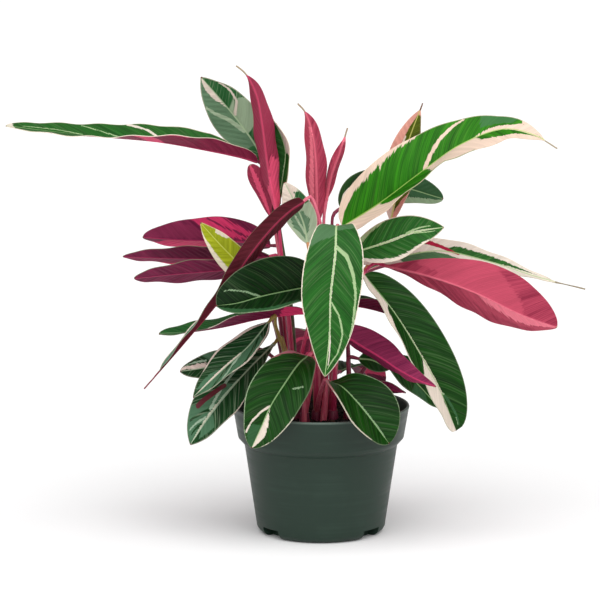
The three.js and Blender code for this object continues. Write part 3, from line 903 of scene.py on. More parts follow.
@dataclass
class ShootBuilder:
    """Builds a shoot: its crown in the soil, its stalks and its sheaths, as one piece."""

    crown_radius: float = 5.2
    crown_neck: float = 4.2
    crown_rise: float = 9.0
    crown_depth: float = 24.0
    crown_sides: int = 30
    crown_bevel: float = 0.9
    crown_ribs: int = 5
    crown_rib_depth: float = 0.04
    soil_top: float = 103.0
    stalk_start: float = 6.0
    approach: float = 9.0
    stations: int = 44
    foot_radius: float = 2.9
    end_radius: float = 1.3
    joint_swell: float = 0.45
    joint_place: float = 7.0
    joint_length: float = 4.5
    sheath_stations: int = 15
    sheath_taper: float = 2.2
    sheath_tip: float = 0.08
    materials: dict[Stem, bpy.types.Material] = field(default_factory=dict)

    def build(self, shoot: Shoot) -> bpy.types.Object:
        """Build one shoot with the stalks of the leaves that it carries.

        Args:
            shoot: What the shoot is like.

        Returns:
            The finished piece.
        """
        parts = [self._crown(shoot.crown)]
        parts += [self._stalk(leaf, shoot.crown) for leaf in LEAVES if leaf.shoot == shoot.name]
        parts += [self._sheath(sheath) for sheath in shoot.sheaths]
        return smooth(join(parts, shoot.name.replace("shoot", "stems")), 40)

    def _dress(self, piece: bpy.types.Object, stem: Stem, low: float, high: float) -> bpy.types.Object:
        """Give a part its colour, and write how high it lies between two heights.

        Args:
            piece: The part.
            stem: Its colour, whose material is made once.
            low: The height in millimetres where the colour is that of a foot.
            high: The height where it is that of a top.

        Returns:
            The part.
        """
        if stem not in self.materials:
            self.materials[stem] = stem.value.material()
        piece.data.materials.append(self.materials[stem])
        heights = coordinates(piece.data)[:, 2] / MM
        write_attribute(piece.data, "rise", np.clip((heights - low) / max(high - low, 1.0), 0, 1))
        return piece

    def _crown(self, crown: Spot) -> bpy.types.Object:
        """Build the short ribbed foot that stands in the soil.

        Args:
            crown: Its place on the soil.

        Returns:
            The crown as an object of its own.
        """
        height = self.crown_depth + self.crown_rise
        low = self.soil_top - self.crown_depth
        piece = add_object(
            bpy.ops.mesh.primitive_cylinder_add, vertices=self.crown_sides, radius=self.crown_radius * MM,
            depth=height * MM, location=(crown[0] * MM, crown[1] * MM, (low + height / 2) * MM))
        bpy.ops.object.mode_set(mode="EDIT")
        bpy.ops.mesh.select_all(action="SELECT")
        bpy.ops.mesh.bisect(
            plane_co=(0, 0, (self.soil_top + 1) * MM), plane_no=(0, 0, 1), use_fill=False)
        bpy.ops.object.mode_set(mode="OBJECT")
        apply_modifier(
            piece, "BEVEL", width=self.crown_bevel * MM, segments=3, limit_method="ANGLE", angle_limit=1.0)
        places = coordinates(piece.data)
        out = places[:, :2] - np.array(crown) * MM
        top = np.maximum(0.0, (places[:, 2] / MM - self.soil_top) / self.crown_rise)
        neck = 1 - top * (1 - self.crown_neck / self.crown_radius)
        turn = np.arctan2(out[:, 1], out[:, 0])
        ribs = 0.97 - self.crown_rib_depth * np.abs(np.sin(self.crown_ribs / 2 * turn))
        places[:, :2] = np.array(crown) * MM + out * (neck * ribs)[:, None]
        move(piece.data, places)
        return self._dress(piece, Stem.MAROON, low, low + 2.5 * height)

    def _tube(self, points: list[np.ndarray], radii: list[float], look: Stem) -> bpy.types.Object:
        """Build a round tube along points.

        Args:
            points: Its middle line in millimetres.
            radii: Its radius at each point in millimetres.
            look: Its colour.

        Returns:
            The tube as a mesh object.
        """
        curve = add_object(bpy.ops.curve.primitive_nurbs_path_add).data
        curve.splines.clear()
        spline = curve.splines.new("POLY")
        spline.points.add(len(points) - 1)
        for spot, place, radius in zip(spline.points, points, radii):
            spot.co = (*(place * MM), 1.0)
            spot.radius = radius
        curve.dimensions = "3D"
        curve.bevel_depth = MM
        curve.bevel_resolution = 4
        curve.use_fill_caps = True
        bpy.ops.object.convert(target="MESH")
        heights = [float(point[2]) for point in points]
        return self._dress(bpy.context.object, look, min(heights), max(heights))

    def _stalk(self, leaf: Leaf, crown: Spot) -> bpy.types.Object:
        """Build a leaf's stalk, with the swollen joint just under its blade.

        Args:
            leaf: The leaf that it carries.
            crown: Where it starts.

        Returns:
            The stalk as a mesh object.
        """
        rib = Curve(leaf.rib)
        root, ahead = rib.point(0.0), rib.tangent(0.0)
        start = (*crown, self.soil_top + self.stalk_start)
        path = Curve((start, *leaf.stalk, tuple(root - ahead * self.approach), tuple(root + ahead)))
        shares = [index / self.stations for index in range(self.stations + 1)]
        radii = [self.foot_radius + (self.end_radius - self.foot_radius) * along**0.8
                 + self.joint_swell * math.exp(
                     -(((1 - along) * path.length - self.joint_place) / self.joint_length) ** 2)
                 for along in shares]
        return self._tube([path.point(along) for along in shares], radii, leaf.stem)

    def _sheath(self, sheath: Sheath) -> bpy.types.Object:
        """Build a pointed scale leaf at a shoot's foot."""
        foot, tip = np.array(sheath.foot, float), np.array(sheath.tip, float)
        shares = np.linspace(0, 1, self.sheath_stations)
        radii = [sheath.width / 2 * max(1 - share**self.sheath_taper, self.sheath_tip) for share in shares]
        return self._tube([foot + (tip - foot) * share for share in shares], radii, sheath.look)


# Pot and soil


@dataclass(frozen=True)
class PotPlastic:
    """Injection-moulded polypropylene with a fine matte texture, IOR 1.49.

    The texture is drawn 1.2 mm across so that it shows, and faint rings of scuffs run
    round the wall where pots rub together in a stack.
    """

    SCUFFS = (9.0, 9.0, 330.0)
    RUBS = 28.0
    TEXTURE = 850.0

    body: str = "#1c2f25"
    worn: str = "#2f4238"
    # The colour of the painted highlight on the lip's rounded top, and the heights in metres that it spans.
    lip_highlight: str = "#66756c"
    highlight_heights: Spot = (0.1138, 0.1152)
    roughness: float = 0.42

    def material(self) -> bpy.types.Material:
        """Make the pot's material."""
        made = Recipe("moulded_polypropylene_dark_green")
        place = made.place()
        scuffs = made.noise(place, detail=3.0, stretch=self.SCUFFS)
        wear = made.math("MULTIPLY", scuffs, made.noise(place, self.RUBS, 3.0))
        colour = made.mix(made.span(wear, 0.24, 0.45, end=0.4), linear(self.body), linear(self.worn))
        # A painted highlight: the rounded top of the lip is drawn paler, where it catches the light.
        painted_highlight = made.span(made.part(place, 2), *self.highlight_heights, end=0.75)
        return made.finish(
            Base_Color=made.mix(painted_highlight, colour, linear(self.lip_highlight)),
            Roughness=made.span(wear, 0.1, 0.45, self.roughness - 0.05, self.roughness + 0.12),
            Normal=made.bump(made.noise(place, self.TEXTURE), 0.12, 0.2), IOR=1.49,
            Specular_IOR_Level=0.3)


def ring_body(profile: list[Spot], segments: int, name: str) -> bpy.types.Object:
    """Build a body turned about +Z by extruding a circle ring after ring.

    Args:
        profile: Radius and height of each ring in millimetres, the first and last of
            which are closed over by a disc.
        segments: Vertices round each ring.
        name: The object's name.

    Returns:
        The closed body.
    """
    radius, height = profile[0]
    piece = add_object(
        bpy.ops.mesh.primitive_circle_add, vertices=segments, radius=radius * MM, fill_type="NGON",
        location=(0, 0, height * MM))
    piece.name = piece.data.name = name
    bpy.ops.object.mode_set(mode="EDIT")
    bpy.ops.mesh.select_mode(type="EDGE")
    bpy.ops.mesh.select_all(action="SELECT")
    for next_radius, next_height in profile[1:]:
        bpy.ops.mesh.extrude_edges_move(
            TRANSFORM_OT_translate={"value": (0, 0, (next_height - height) * MM)})
        bpy.ops.transform.resize(
            value=(next_radius / radius, next_radius / radius, 1), center_override=(0, 0, 0))
        radius, height = next_radius, next_height
    bpy.ops.mesh.edge_face_add()
    bpy.ops.mesh.select_all(action="SELECT")
    bpy.ops.mesh.normals_make_consistent(inside=False)
    bpy.ops.object.mode_set(mode="OBJECT")
    return piece


def corner_arc(floor: Spot, wall: Spot, steps: int) -> list[Spot]:
    """Give a quarter arc from a floor to a wall, each as radius and height."""
    angles = [math.pi / 2 * i / steps for i in range(steps + 1)]
    return [(floor[0] + (wall[0] - floor[0]) * math.sin(a), wall[1] + (floor[1] - wall[1]) * math.cos(a))
            for a in angles]


@dataclass
class Pot:
    """A 16 cm moulded nursery pot with a deep rim band and a notched foot.

    Its outline runs from the foot through the foot's corner, the neck and the band's
    foot to the rim, each as radius and height.
    """

    height: float = 116.0
    rim_radius: float = 80.0
    wall: float = 1.8
    band_foot: Spot = (75.0, 87.0)
    neck: Spot = (69.4, 81.0)
    foot_corner: Spot = (58.5, 7.5)
    foot_radius: float = 51.0
    ring_radius: float = 46.0
    recess: float = 4.5
    pad_radius: float = 16.0
    notch_angles: tuple[float, ...] = (-128.0, -52.0, 52.0, 128.0)
    notch_size: Point = (22.0, 16.0, 17.0)
    segments: int = 192

    def inside(self, clearance: float = 0.0) -> list[Spot]:
        """Give the inside from its floor up to just under the rim.

        Args:
            clearance: How far the outline is moved inwards.

        Returns:
            Radius and height of each point.
        """
        inset = self.wall + clearance
        floor = self.recess + inset
        return [
            (self.pad_radius - 2 - clearance, inset),
            (self.pad_radius + 1 - clearance, floor),
            *corner_arc((self.foot_radius - inset, floor), (self.foot_corner[0] - inset, 14.0), 6),
            (self.neck[0] - inset, self.neck[1]),
            (self.band_foot[0] - inset, self.band_foot[1]),
        ]

    def build(self) -> bpy.types.Object:
        """Build the pot.

        Returns:
            The finished piece.
        """
        rim, top = self.rim_radius, self.height
        outside = [
            (self.pad_radius, 0.0), (self.pad_radius + 3, self.recess),
            (self.ring_radius - 2, self.recess), (self.ring_radius, 0.0),
            *corner_arc((self.foot_radius, 0.0), self.foot_corner, 8),
            self.neck, (self.neck[0] + 0.7, self.neck[1] + 0.4),
            self.band_foot, (self.band_foot[0] + 0.3, self.band_foot[1] + 1.2),
            (rim - 0.5, top - 3.0), (rim - 0.1, top - 2.0), (rim, top - 1.2), (rim - 0.3, top - 0.4),
            (rim - 1.0, top), (rim - self.wall - 0.2, top), (rim - self.wall - 0.6, top - 0.8),
        ]
        piece = ring_body([*outside, *reversed(self.inside())], self.segments, "nursery_pot")
        for angle in self.notch_angles:
            self._notch(piece, math.radians(angle))
        piece.data.materials.clear()
        piece.data.materials.append(PotPlastic().material())
        return smooth(piece, 28)

    def _notch(self, piece: bpy.types.Object, angle: float) -> None:
        """Cut one drainage notch through the foot's corner.

        Args:
            piece: The pot.
            angle: Where the notch is, turned from the viewer's side.
        """
        reach = (self.foot_radius + self.notch_size[1] / 2 - 5) * MM
        cutter = add_object(
            bpy.ops.mesh.primitive_cube_add, size=1, scale=tuple(side * MM for side in self.notch_size),
            location=(reach * math.sin(angle), -reach * math.cos(angle), 0), rotation=(0, 0, angle))
        apply_modifier(piece, "BOOLEAN", operation="DIFFERENCE", object=cutter, solver="EXACT")
        bpy.data.objects.remove(cutter)


@dataclass(frozen=True)
class SoilFinish:
    """Damp peat-based potting mix: near-black, rough, with brown fibres.

    Clods are 3 mm across and grains 0.8 mm.
    """

    CLODS = 330.0
    GRAINS = 1250.0

    name: str = "damp_peat"
    dark: str = "#0c0806"
    light: str = "#261a13"

    def material(self) -> bpy.types.Material:
        """Make the material."""
        made = Recipe(f"potting_mix_{self.name}")
        place = made.place()
        clods = made.noise(place, self.CLODS, 4.0)
        relief = made.math("MULTIPLY_ADD", made.noise(place, self.GRAINS), 0.4, clods)
        return made.finish(
            Base_Color=made.mix(made.span(clods, 0.38, 0.72), linear(self.dark), linear(self.light)),
            Roughness=0.92, Normal=made.bump(relief, 0.8, 1.2), IOR=1.35)


@dataclass(frozen=True)
class Crumb:
    """A kind of crumb on the soil: its look, share of all, smallest and largest size, and height."""

    look: SoilFinish
    share: float
    sizes: Spot
    flatness: float


@dataclass
class Soil:
    """The potting mix: it fills the pot, with a lumpy top strewn with crumbs."""

    pot: Pot
    top: float = 103.0
    seat_gap: float = 0.3
    ring_step: float = 2.1
    segments: int = 180
    crumbs: int = 900
    seed: int = 11
    kinds: tuple[Crumb, ...] = (
        Crumb(SoilFinish("peat_crumb", "#140d09", "#2f2018"), 0.86, (0.7, 2.2), 1.0),
        Crumb(SoilFinish("bark_chip", "#3a2416", "#6b4a30"), 0.11, (1.2, 3.2), 0.4),
        Crumb(SoilFinish("perlite", "#b9b4a8", "#ddd9cf"), 0.03, (0.8, 1.6), 0.9),
    )

    def lump(self, x: np.ndarray | float, y: np.ndarray | float) -> np.ndarray | float:
        """Give the height of the soil over its level, in millimetres."""
        waves = (np.sin(x * 0.21 + y * 0.13) + np.sin(y * 0.31 - x * 0.09 + 1)
                 + np.sin(x * 0.47 + 2) * np.sin(y * 0.43 + 0.6))
        return waves / 3 * 1.4 + np.sin(x * 1.7 + y * 0.9) * np.sin(y * 1.9 - x * 0.6 + 2) * 0.35

    def build(self) -> bpy.types.Object:
        """Build the soil.

        Returns:
            The finished piece.
        """
        pot = self.pot
        profile = pot.inside(self.seat_gap)
        band_radius, band_height = profile[-1]
        rise = (self.top - band_height) / (pot.height - band_height)
        edge = band_radius + (pot.rim_radius - pot.wall - 0.6 - self.seat_gap - band_radius) * rise
        rings = int(edge / self.ring_step)
        profile += [(edge * ring / rings, self.top) for ring in range(rings, 0, -1)]
        piece = ring_body(profile, self.segments, "potting_mix")
        places = coordinates(piece.data) / MM
        surface = (places[:, 2] > self.top - 0.01) & (np.hypot(places[:, 0], places[:, 1]) < edge - 1)
        places[surface, 2] = self.top + self.lump(places[surface, 0], places[surface, 1])
        move(piece.data, places * MM)
        piece.data.materials.clear()
        piece.data.materials.append(SoilFinish().material())
        draw = np.random.default_rng(self.seed)
        strewn = [self._strew(kind, edge, draw) for kind in self.kinds]
        return smooth(join([piece, *strewn], "potting_mix"), 45)

    def _strew(self, kind: Crumb, edge: float, draw: np.random.Generator) -> bpy.types.Object:
        """Strew crumbs of one kind over the soil.

        Args:
            kind: What the crumbs are like.
            edge: The soil's radius.
            draw: The seeded source of their places, sizes and shapes.

        Returns:
            The crumbs as one object.
        """
        piece = add_object(bpy.ops.mesh.primitive_ico_sphere_add, subdivisions=1, radius=1.0)
        corners = np.array([vertex.co[:] for vertex in piece.data.vertices])
        faces = np.array([face.vertices[:] for face in piece.data.polygons])
        count = int(self.crumbs * kind.share)
        places = []
        for _ in range(count):
            radius, turn = edge * math.sqrt(draw.uniform(0.0, 0.96)), draw.uniform(0, math.tau)
            x, y = radius * math.cos(turn), radius * math.sin(turn)
            size = draw.uniform(*kind.sizes)
            sides = (size, size * 0.7, size * kind.flatness * 0.6)
            shape = corners * draw.uniform(0.6, 1.3, corners.shape) * sides
            spin = draw.uniform(0, math.tau)
            cos, sin = math.cos(spin), math.sin(spin)
            height = self.top + self.lump(x, y) + size * kind.flatness * 0.25
            places.append(shape @ np.array([[cos, sin, 0], [-sin, cos, 0], [0, 0, 1]]) + (x, y, height))
        index = np.concatenate([faces + number * len(corners) for number in range(count)])
        mesh = bpy.data.meshes.new(kind.look.name)
        mesh.from_pydata(np.concatenate(places) * MM, [], index.tolist())
        mesh.materials.append(kind.look.material())
        piece.data = mesh
        return piece


# Studio


@dataclass
class Studio:
    """A white floor, soft light and the photograph's view of the plant."""

    camera_place: Point = (-19.0, -4000.0, 960.6)
    pitch: float = 10.6
    lens: float = 270.96
    floor_size: float = 60.0
    floor_colour: str = "#fbfbfb"
    floor_drop: float = 0.3
    sky: float = 0.38
    aim: Point = (0.0, 0.0, 0.22)

    def build(self) -> None:
        """Build the floor, the lights, the sky and the camera."""
        self._floor()
        self._light("key", (-0.7, -2.4, 3.3), 85.0, 2.3)
        self._light("fill", (2.4, -1.4, 2.6), 70.0, 1.05)
        self._sky()
        self._camera()

    def _floor(self) -> None:
        """Lay the pale floor just under the pot."""
        floor = add_object(
            bpy.ops.mesh.primitive_plane_add, size=self.floor_size, location=(0, 0, -self.floor_drop * MM))
        floor.name = "studio_floor"
        made = Recipe("matte_white_paper")
        gloss = made.span(made.noise(made.place(), 60.0), 0, 1, 0.8, 0.95)
        floor.data.materials.append(made.finish(
            Base_Color=linear(self.floor_colour), Roughness=gloss, Specular_IOR_Level=0.1))

    def _light(self, name: str, place: Point, spread: float, power: float) -> None:
        """Hang a large far-off soft light that looks at the plant.

        Args:
            name: What the light does.
            place: The side that it shines from, in metres.
            spread: How wide it looks from the plant, in degrees.
            power: Its power in watts on each square metre.
        """
        light = add_object(bpy.ops.object.light_add, type="SUN", location=place)
        light.name = f"studio_{name}"
        light.data.angle = math.radians(spread)
        light.data.energy = power
        aim = Vector(self.aim) - light.location
        light.rotation_euler = aim.to_track_quat("-Z", "Y").to_euler()

    def _sky(self) -> None:
        """Light the scene evenly from a white surround."""
        scene = bpy.context.scene
        scene.world = bpy.data.worlds.new("white_surround")
        scene.world.use_nodes = True
        surround = scene.world.node_tree.nodes["Background"]
        surround.inputs["Color"].default_value = (1, 1, 1, 1)
        surround.inputs["Strength"].default_value = self.sky
        scene.view_settings.view_transform = "Standard"
        scene.view_settings.look = "None"

    def _camera(self) -> None:
        """Set up the camera at the photograph's angle."""
        camera = add_object(
            bpy.ops.object.camera_add, location=[side * MM for side in self.camera_place],
            rotation=(math.radians(90 - self.pitch), 0, 0))
        camera.name = "studio_camera"
        camera.data.lens = self.lens
        camera.data.sensor_width = 36.0
        camera.data.clip_end = 200.0
        bpy.context.scene.camera = camera


# The plant


LEAVES = (
    Leaf(
        "leaf_01", "shoot_left_rear", Finish.MEADOW, width=44, fold=(34, 47, 28, 16, 11, 10), full=0.5,
        stem=Stem.MAROON,
        rib=((-58, 34, 333), (-76, 27, 339), (-105, 21, 346), (-146, 16, 354), (-221, 7, 362),
             (-282, -4, 371)),
        face=((0, 0.3, 0.95), (0, -0.07, 1), (0, -0.09, 1), (0, -0.14, 0.99), (0, -0.19, 0.98),
              (0, -0.24, 0.97)),
        stalk=((-31, 15, 200), (-42, 31, 280), (-49, 37, 320)),
        marks=(
            streak(Tone.CREAM, 1.1, 0.8, (0.52, 0.95), (0.44, 0.6), (0.38, 0.02)),
            patch(Tone.CREAM, (0.355, 0), (0.42, 0), (0.52, -1.2), (0.46, -1.2)),
            streak(Tone.MILK, 0.6, 0.6, (0.7, 0.84), (0.63, 0.41), (0.56, 0.05)),
            streak(Tone.MILK, 0.6, 0.4, (0.93, 0.3), (0.8, 0.25), (0.7, 0.02)),
            streak(Tone.CREAM, 0.9, 0.4, (0.3, -0.97), (0.5, -1.0), (0.9, -0.97)),
            patch(Tone.CREAM, (0.965, -1.2), (1.05, -1.2), (1.05, 1.2), (0.975, 1.2)),
        ),
    ),
    Leaf(
        "leaf_02", "shoot_left_rear", Finish.SAGE, width=42, fold=(12, 15), widest=0.5, stem=Stem.ORANGE,
        rib=((-52, 46, 327), (-58, 48, 343), (-73, 50, 365), (-89, 44, 386), (-108, 32, 410)),
        face=((-0.2, -0.95, 0.2),),
        stalk=((-31, 20, 200), (-42, 40, 285)),
        marks=(
            patch(Tone.SAGE, (0.2, -0.03), (1, -0.03), (1, -1.2), (0.2, -1.2)),
            patch(Tone.MILK, (0.3, 0.03), (0.6, 0.03), (0.66, 0.5), (0.6, 1.2), (0.3, 1.2), (0.27, 0.6)),
            patch(Tone.GREEN, (0.53, 0.03), (0.9, 0.05), (0.93, 0.35), (0.84, 0.66), (0.68, 0.6)),
            patch(Tone.GREEN, (0.18, 0.03), (0.29, 0.05), (0.34, 0.5), (0.24, 0.4)),
            streak(Tone.CREAM, 1.2, 0.8, (0.52, 0.06), (0.62, 0.55), (0.74, 0.78), (0.86, 0.9)),
            patch(Tone.CREAM, (0.63, -0.02), (0.78, -0.32), (0.95, -0.55), (1.05, -0.4), (1.05, 0.3),
                  (0.93, 0.02)),
            streak(Tone.MILK, 2.0, 0.9, (0.36, -0.05), (0.55, -0.35), (0.75, -0.9)),
        ),
    ),
    Leaf(
        "leaf_03", "shoot_left_rear", Finish.CRIMSON, width=36, fold=(62, 55), tail=0.09, stem=Stem.CRIMSON,
        rib=((-40, 12, 289), (-48, 14, 331), (-53, 10, 370), (-58, 6, 397), (-68, 0, 418), (-76, -2, 425)),
        face=((0.1, 1, 0.1), (0, 1, 0.1)),
        stalk=((-30, 12, 200), (-36, 11, 255)),
        marks=(
            whole(Tone.FLUSH),
            patch(Tone.GLOW, (-0.05, -1.2), (0.3, -1.2), (0.36, -0.3), (0.2, 0.1), (0.12, 1.2), (-0.05, 1.2)),
        ),
    ),
    Leaf(
        "leaf_04", "shoot_left_rear", Finish.MEADOW, width=40, fold=(40, 38), stem=Stem.GREEN,
        rib=((-38, 30, 295), (-34, 34, 321), (-32, 36, 341), (-38, 34, 361), (-49, 30, 379)),
        face=((-0.62, -0.76, 0.1),),
        stalk=((-27, 20, 200), (-37, 27, 270)),
        marks=(
            patch(Tone.CREAM, (0.5, 0.04), (1.05, 0.04), (1.05, 1.2), (0.5, 1.2), (0.53, 0.5)),
            streak(Tone.CREAM, 1.2, 1.2, (0.1, 0.02), (0.5, 0.04)),
        ),
    ),
    Leaf(
        "leaf_05", "shoot_centre", Finish.ROSE, width=33, fold=(60, 52), widest=0.5, tail=0.08,
        stem=Stem.ROSE,
        rib=((-4, 17, 270), (-4, 21, 304), (-5, 24, 336), (-8, 24, 359), (-15, 20, 381), (-21, 18, 388)),
        face=((0, 1, 0.1),),
        stalk=((-5, 10, 190), (-4, 15, 240)),
        marks=(
            whole(Tone.FLUSH, 0),
            patch(Tone.PLAIN, (0.05, -0.2), (0.5, -0.3), (0.95, -0.2), (0.95, -1.2), (0.05, -1.2)),
            streak(Tone.GLOW, 4.2, 2.0, (0.1, 0.6), (0.4, 0.45), (0.62, 0.3), (0.78, 0.1)),
        ),
    ),
    Leaf(
        "leaf_06", "shoot_centre", Finish.ROSE, width=16, fold=(58, 48), tail=0.12, stem=Stem.ROSE,
        rib=((5, 31, 298), (9, 35, 318), (16, 37, 338), (24, 38, 363)),
        face=((0, 1, 0),),
        stalk=((-1, 12, 200), (2, 24, 265)),
        marks=(
            whole(Tone.PLAIN),
            streak(Tone.FLUSH, 2.0, 1.2, (0.0, 0.3), (0.4, 0.4), (0.75, 0.3)),
            patch(Tone.CREAM, (0.74, -1.2), (1.05, -1.2), (1.05, 1.2), (0.7, 1.2), (0.78, 0)),
            whole(Tone.GLOW, 0.8),
        ),
    ),
    Leaf(
        "leaf_07", "shoot_centre", Finish.MAROON_SHADED, width=22, fold=(15, 38), widest=0.3, full=0.45, tail=0.1,
        stem=Stem.ROSE,
        rib=((-16, -8, 303), (-28, -16, 296), (-44, -30, 283), (-64, -42, 260), (-88, -52, 225),
             (-120, -60, 187), (-158, -56, 142)),
        face=((-0.35, 0.9, 0.3), (-0.4, 0.88, 0.3), (-0.8, 0.05, 0.6), (-0.78, -0.3, 0.55)),
        stalk=((-3, 0, 200), (1, -3, 270), (-4, -6, 295)),
        marks=(
            whole(Tone.SAGE, 0.5),
            streak(Tone.CREAM, 0.9, 0.6, (0.5, 0.95), (0.95, 0.95)),
        ),
    ),
    Leaf(
        "leaf_08", "shoot_left", Finish.MAROON, width=46, fold=(28, 24), widest=0.42, full=0.55,
        stem=Stem.MAROON,
        rib=((-46, 44, 254), (-78, 50, 257), (-119, 50, 258), (-162, 44, 262)),
        face=((0, 0.82, 0.57),),
        stalk=((-32, 36, 180), (-36, 42, 235)),
        marks=(
            patch(Tone.GLOW, (0.02, -0.1), (0.1, -0.5), (0.3, -0.75), (0.44, -1.2), (0.7, -1.2),
                  (0.55, -0.66), (0.34, -0.2), (0.12, -0.1)),
            patch(Tone.FLUSH, (0.5, -0.12), (0.95, -0.1), (1.05, -1.2), (0.86, -1.2), (0.6, -0.6)),
            streak(Tone.PLAIN, 0.7, 0.4, (0.16, -0.25), (0.36, -0.55), (0.5, -0.95)),
            patch(Tone.GLOW, (0.3, 0.05), (0.7, 0.04), (0.84, 0.3), (0.92, 1.2), (0.25, 1.2)),
        ),
    ),
    Leaf(
        "leaf_09", "shoot_left", Finish.MAROON, width=34, fold=(10, 10), full=0.6, stem=Stem.CRIMSON,
        rib=((-47, 28, 247), (-87, 30, 245), (-132, 26, 246), (-179, 16, 249)),
        face=((0, 0.64, 0.77),),
        stalk=((-33, 32, 180), (-38, 30, 234)),
        marks=(
            patch(Tone.FLUSH, (0.2, 0.06), (0.9, 0.08), (1.05, 1.2), (0.2, 1.2)),
            patch(Tone.GLOW, (0.18, 0.4), (0.5, 0.5), (0.72, 0.9), (0.68, 1.2), (0.16, 1.2)),
        ),
    ),
    Leaf(
        "leaf_10", "shoot_left", Finish.MAROON, width=40, fold=(4, 4), widest=0.5, full=0.55,
        stem=Stem.MAROON,
        rib=((-54, 14, 240), (-91, 8, 238), (-132, 0, 236), (-168, -10, 234)),
        face=((0, 0.64, 0.77),),
        stalk=((-36, 28, 180), (-43, 20, 226)),
        marks=(whole(Tone.PLAIN),),
    ),
    Leaf(
        "leaf_11", "shoot_left", Finish.LIME, width=28, fold=(20, 20), stem=Stem.MAROON,
        rib=((-56, 0, 222), (-73, -6, 245), (-91, -10, 265), (-108, -14, 285)),
        face=((-0.3, -0.9, 0.3),),
        stalk=((-36, 22, 160), (-47, 6, 205)),
        marks=(
            patch(Tone.CREAM, (0.2, -0.66), (0.75, -0.7), (0.92, -0.92), (0.92, -1.2), (0.2, -1.2)),
            patch(Tone.CREAM, (0.66, 1.2), (0.7, 0.75), (0.82, 0.55), (0.86, 1.2)),
        ),
    ),
    Leaf(
        "leaf_12", "shoot_centre", Finish.DEEP_SHADED, width=66, fold=(42, 32), full=0.38, stem=Stem.CRIMSON,
        rib=((-3, -14, 228), (-28, -34, 227), (-53, -52, 225), (-75, -64, 221), (-93, -72, 220)),
        face=((0.42, -0.56, 0.72),),
        stalk=((-4, -5, 180), (3, -8, 218)),
        marks=(
            patch(Tone.SAGE, (0.4, -0.84), (0.7, -0.8), (0.9, -0.5), (1.05, -0.3), (1.05, -1.2), (0.4, -1.2)),
            streak(Tone.MILK, 0.8, 0.5, (0.6, 0.0), (0.72, 0.28), (0.92, 0.66)),
            streak(Tone.MILK, 0.7, 0.2, (0.1, -0.02), (0.9, -0.02)),
            streak(Tone.MILK, 0.3, 0.3, (0.3, -1.0), (0.6, -1.0), (0.98, -0.97)),
        ),
    ),
    Leaf(
        "leaf_13", "shoot_left_front", Finish.MAROON, width=44, fold=(30, 10), full=0.6, stem=Stem.CRIMSON,
        rib=((-14, -8, 202), (-53, -18, 199), (-88, -28, 193), (-117, -36, 190), (-145, -42, 189)),
        face=((0, 0.35, 0.94), (0, 0.2, 0.98), (0, -0.25, 0.97)),
        stalk=((-18, -4, 160), (-9, -5, 196)),
        marks=(
            patch(Tone.CREAM, (0.44, -0.05), (0.6, -0.05), (0.72, -1.2), (0.5, -1.2)),
            patch(Tone.GLOW, (-0.05, -1.2), (0.16, -1.2), (0.2, 1.2), (-0.05, 1.2)),
        ),
    ),
    Leaf(
        "leaf_14", "shoot_left_front", Finish.STREAKED, width=39, fold=(15, 15), stem=Stem.OLIVE,
        rib=((-47, -30, 197), (-65, -44, 178), (-87, -56, 160), (-114, -66, 136)),
        face=((-0.3, -0.45, 0.84),),
        stalk=((-33, -8, 165), (-41, -20, 193)),
        marks=(
            patch(Tone.SAGE, (0.1, -0.04), (0.95, -0.04), (0.93, -1.2), (0.5, -1.2), (0.2, -0.8)),
            patch(Tone.SAGE, (0.62, 0.1), (0.88, 0.08), (0.94, 0.6), (0.78, 0.5)),
            streak(Tone.GREEN, 1.8, 0.9, (0.2, -0.3), (0.36, -0.66), (0.5, -1.0)),
            streak(Tone.GREEN, 1.6, 0.9, (0.56, -0.12), (0.7, -0.5), (0.82, -0.95)),
            streak(Tone.MILK, 1.5, 0.8, (0.42, -0.05), (0.55, -0.35), (0.7, -0.9)),
            streak(Tone.CREAM, 0.8, 0.6, (0.0, -0.8), (0.25, -0.92), (0.6, -1.0)),
            streak(Tone.CREAM, 1.8, 1.2, (0.0, 0.6), (0.12, 0.88), (0.4, 0.98), (0.75, 1.0)),
            streak(Tone.CREAM, 0.5, 1.2, (0.4, 0.02), (0.7, 0.05), (1.0, 0.05)),
        ),
    ),
    Leaf(
        "leaf_15", "shoot_left_front", Finish.STREAKED, width=44, fold=(12, 14), widest=0.6, stem=Stem.OLIVE,
        rib=((-42, -10, 174), (-66, -28, 153), (-92, -42, 126), (-106, -50, 108), (-117, -52, 90)),
        face=((-0.3, -0.8, 0.5),),
        stalk=((-27, -4, 150), (-33, -5, 170)),
        marks=(
            patch(Tone.SAGE, (0.4, 0.03), (0.86, 0.03), (1.02, 0.4), (0.92, 1.2), (0.78, 1.2), (0.7, 0.5),
                  (0.5, 0.45)),
            patch(Tone.SAGE, (0.66, -0.03), (0.8, -0.03), (0.93, -0.6), (0.8, -0.8)),
            streak(Tone.GREEN, 1.5, 0.8, (0.7, 0.12), (0.78, 0.4), (0.85, 0.8)),
            streak(Tone.GREEN, 1.3, 0.7, (0.84, 0.1), (0.93, 0.45)),
            streak(Tone.MILK, 0.9, 0.6, (0.77, 0.08), (0.86, 0.42), (0.91, 0.7)),
            streak(Tone.MILK, 1.2, 0.8, (0.3, 0.55), (0.45, 0.38), (0.7, 0.12)),
            streak(Tone.MILK, 0.8, 2.2, (0.4, 0.0), (0.7, -0.02), (1.0, -0.02)),
            streak(Tone.CREAM, 0.4, 1.0, (0.6, 0.0), (0.8, 0.0), (1.0, 0.0)),
            streak(Tone.RUST, 2.0, 1.6, (0.73, 0.66), (0.61, 0.45), (0.5, 0.3)),
            streak(Tone.CREAM, 0.4, 0.4, (0.35, -1.0), (0.7, -1.0)),
        ),
    ),
    Leaf(
        "leaf_16", "shoot_left_front", Finish.STREAKED, width=27, fold=(8, 8), full=0.6, stem=Stem.MAROON,
        rib=((-68, -4, 164), (-95, -10, 154), (-127, -14, 149)),
        face=((0, -0.8, 0.6),),
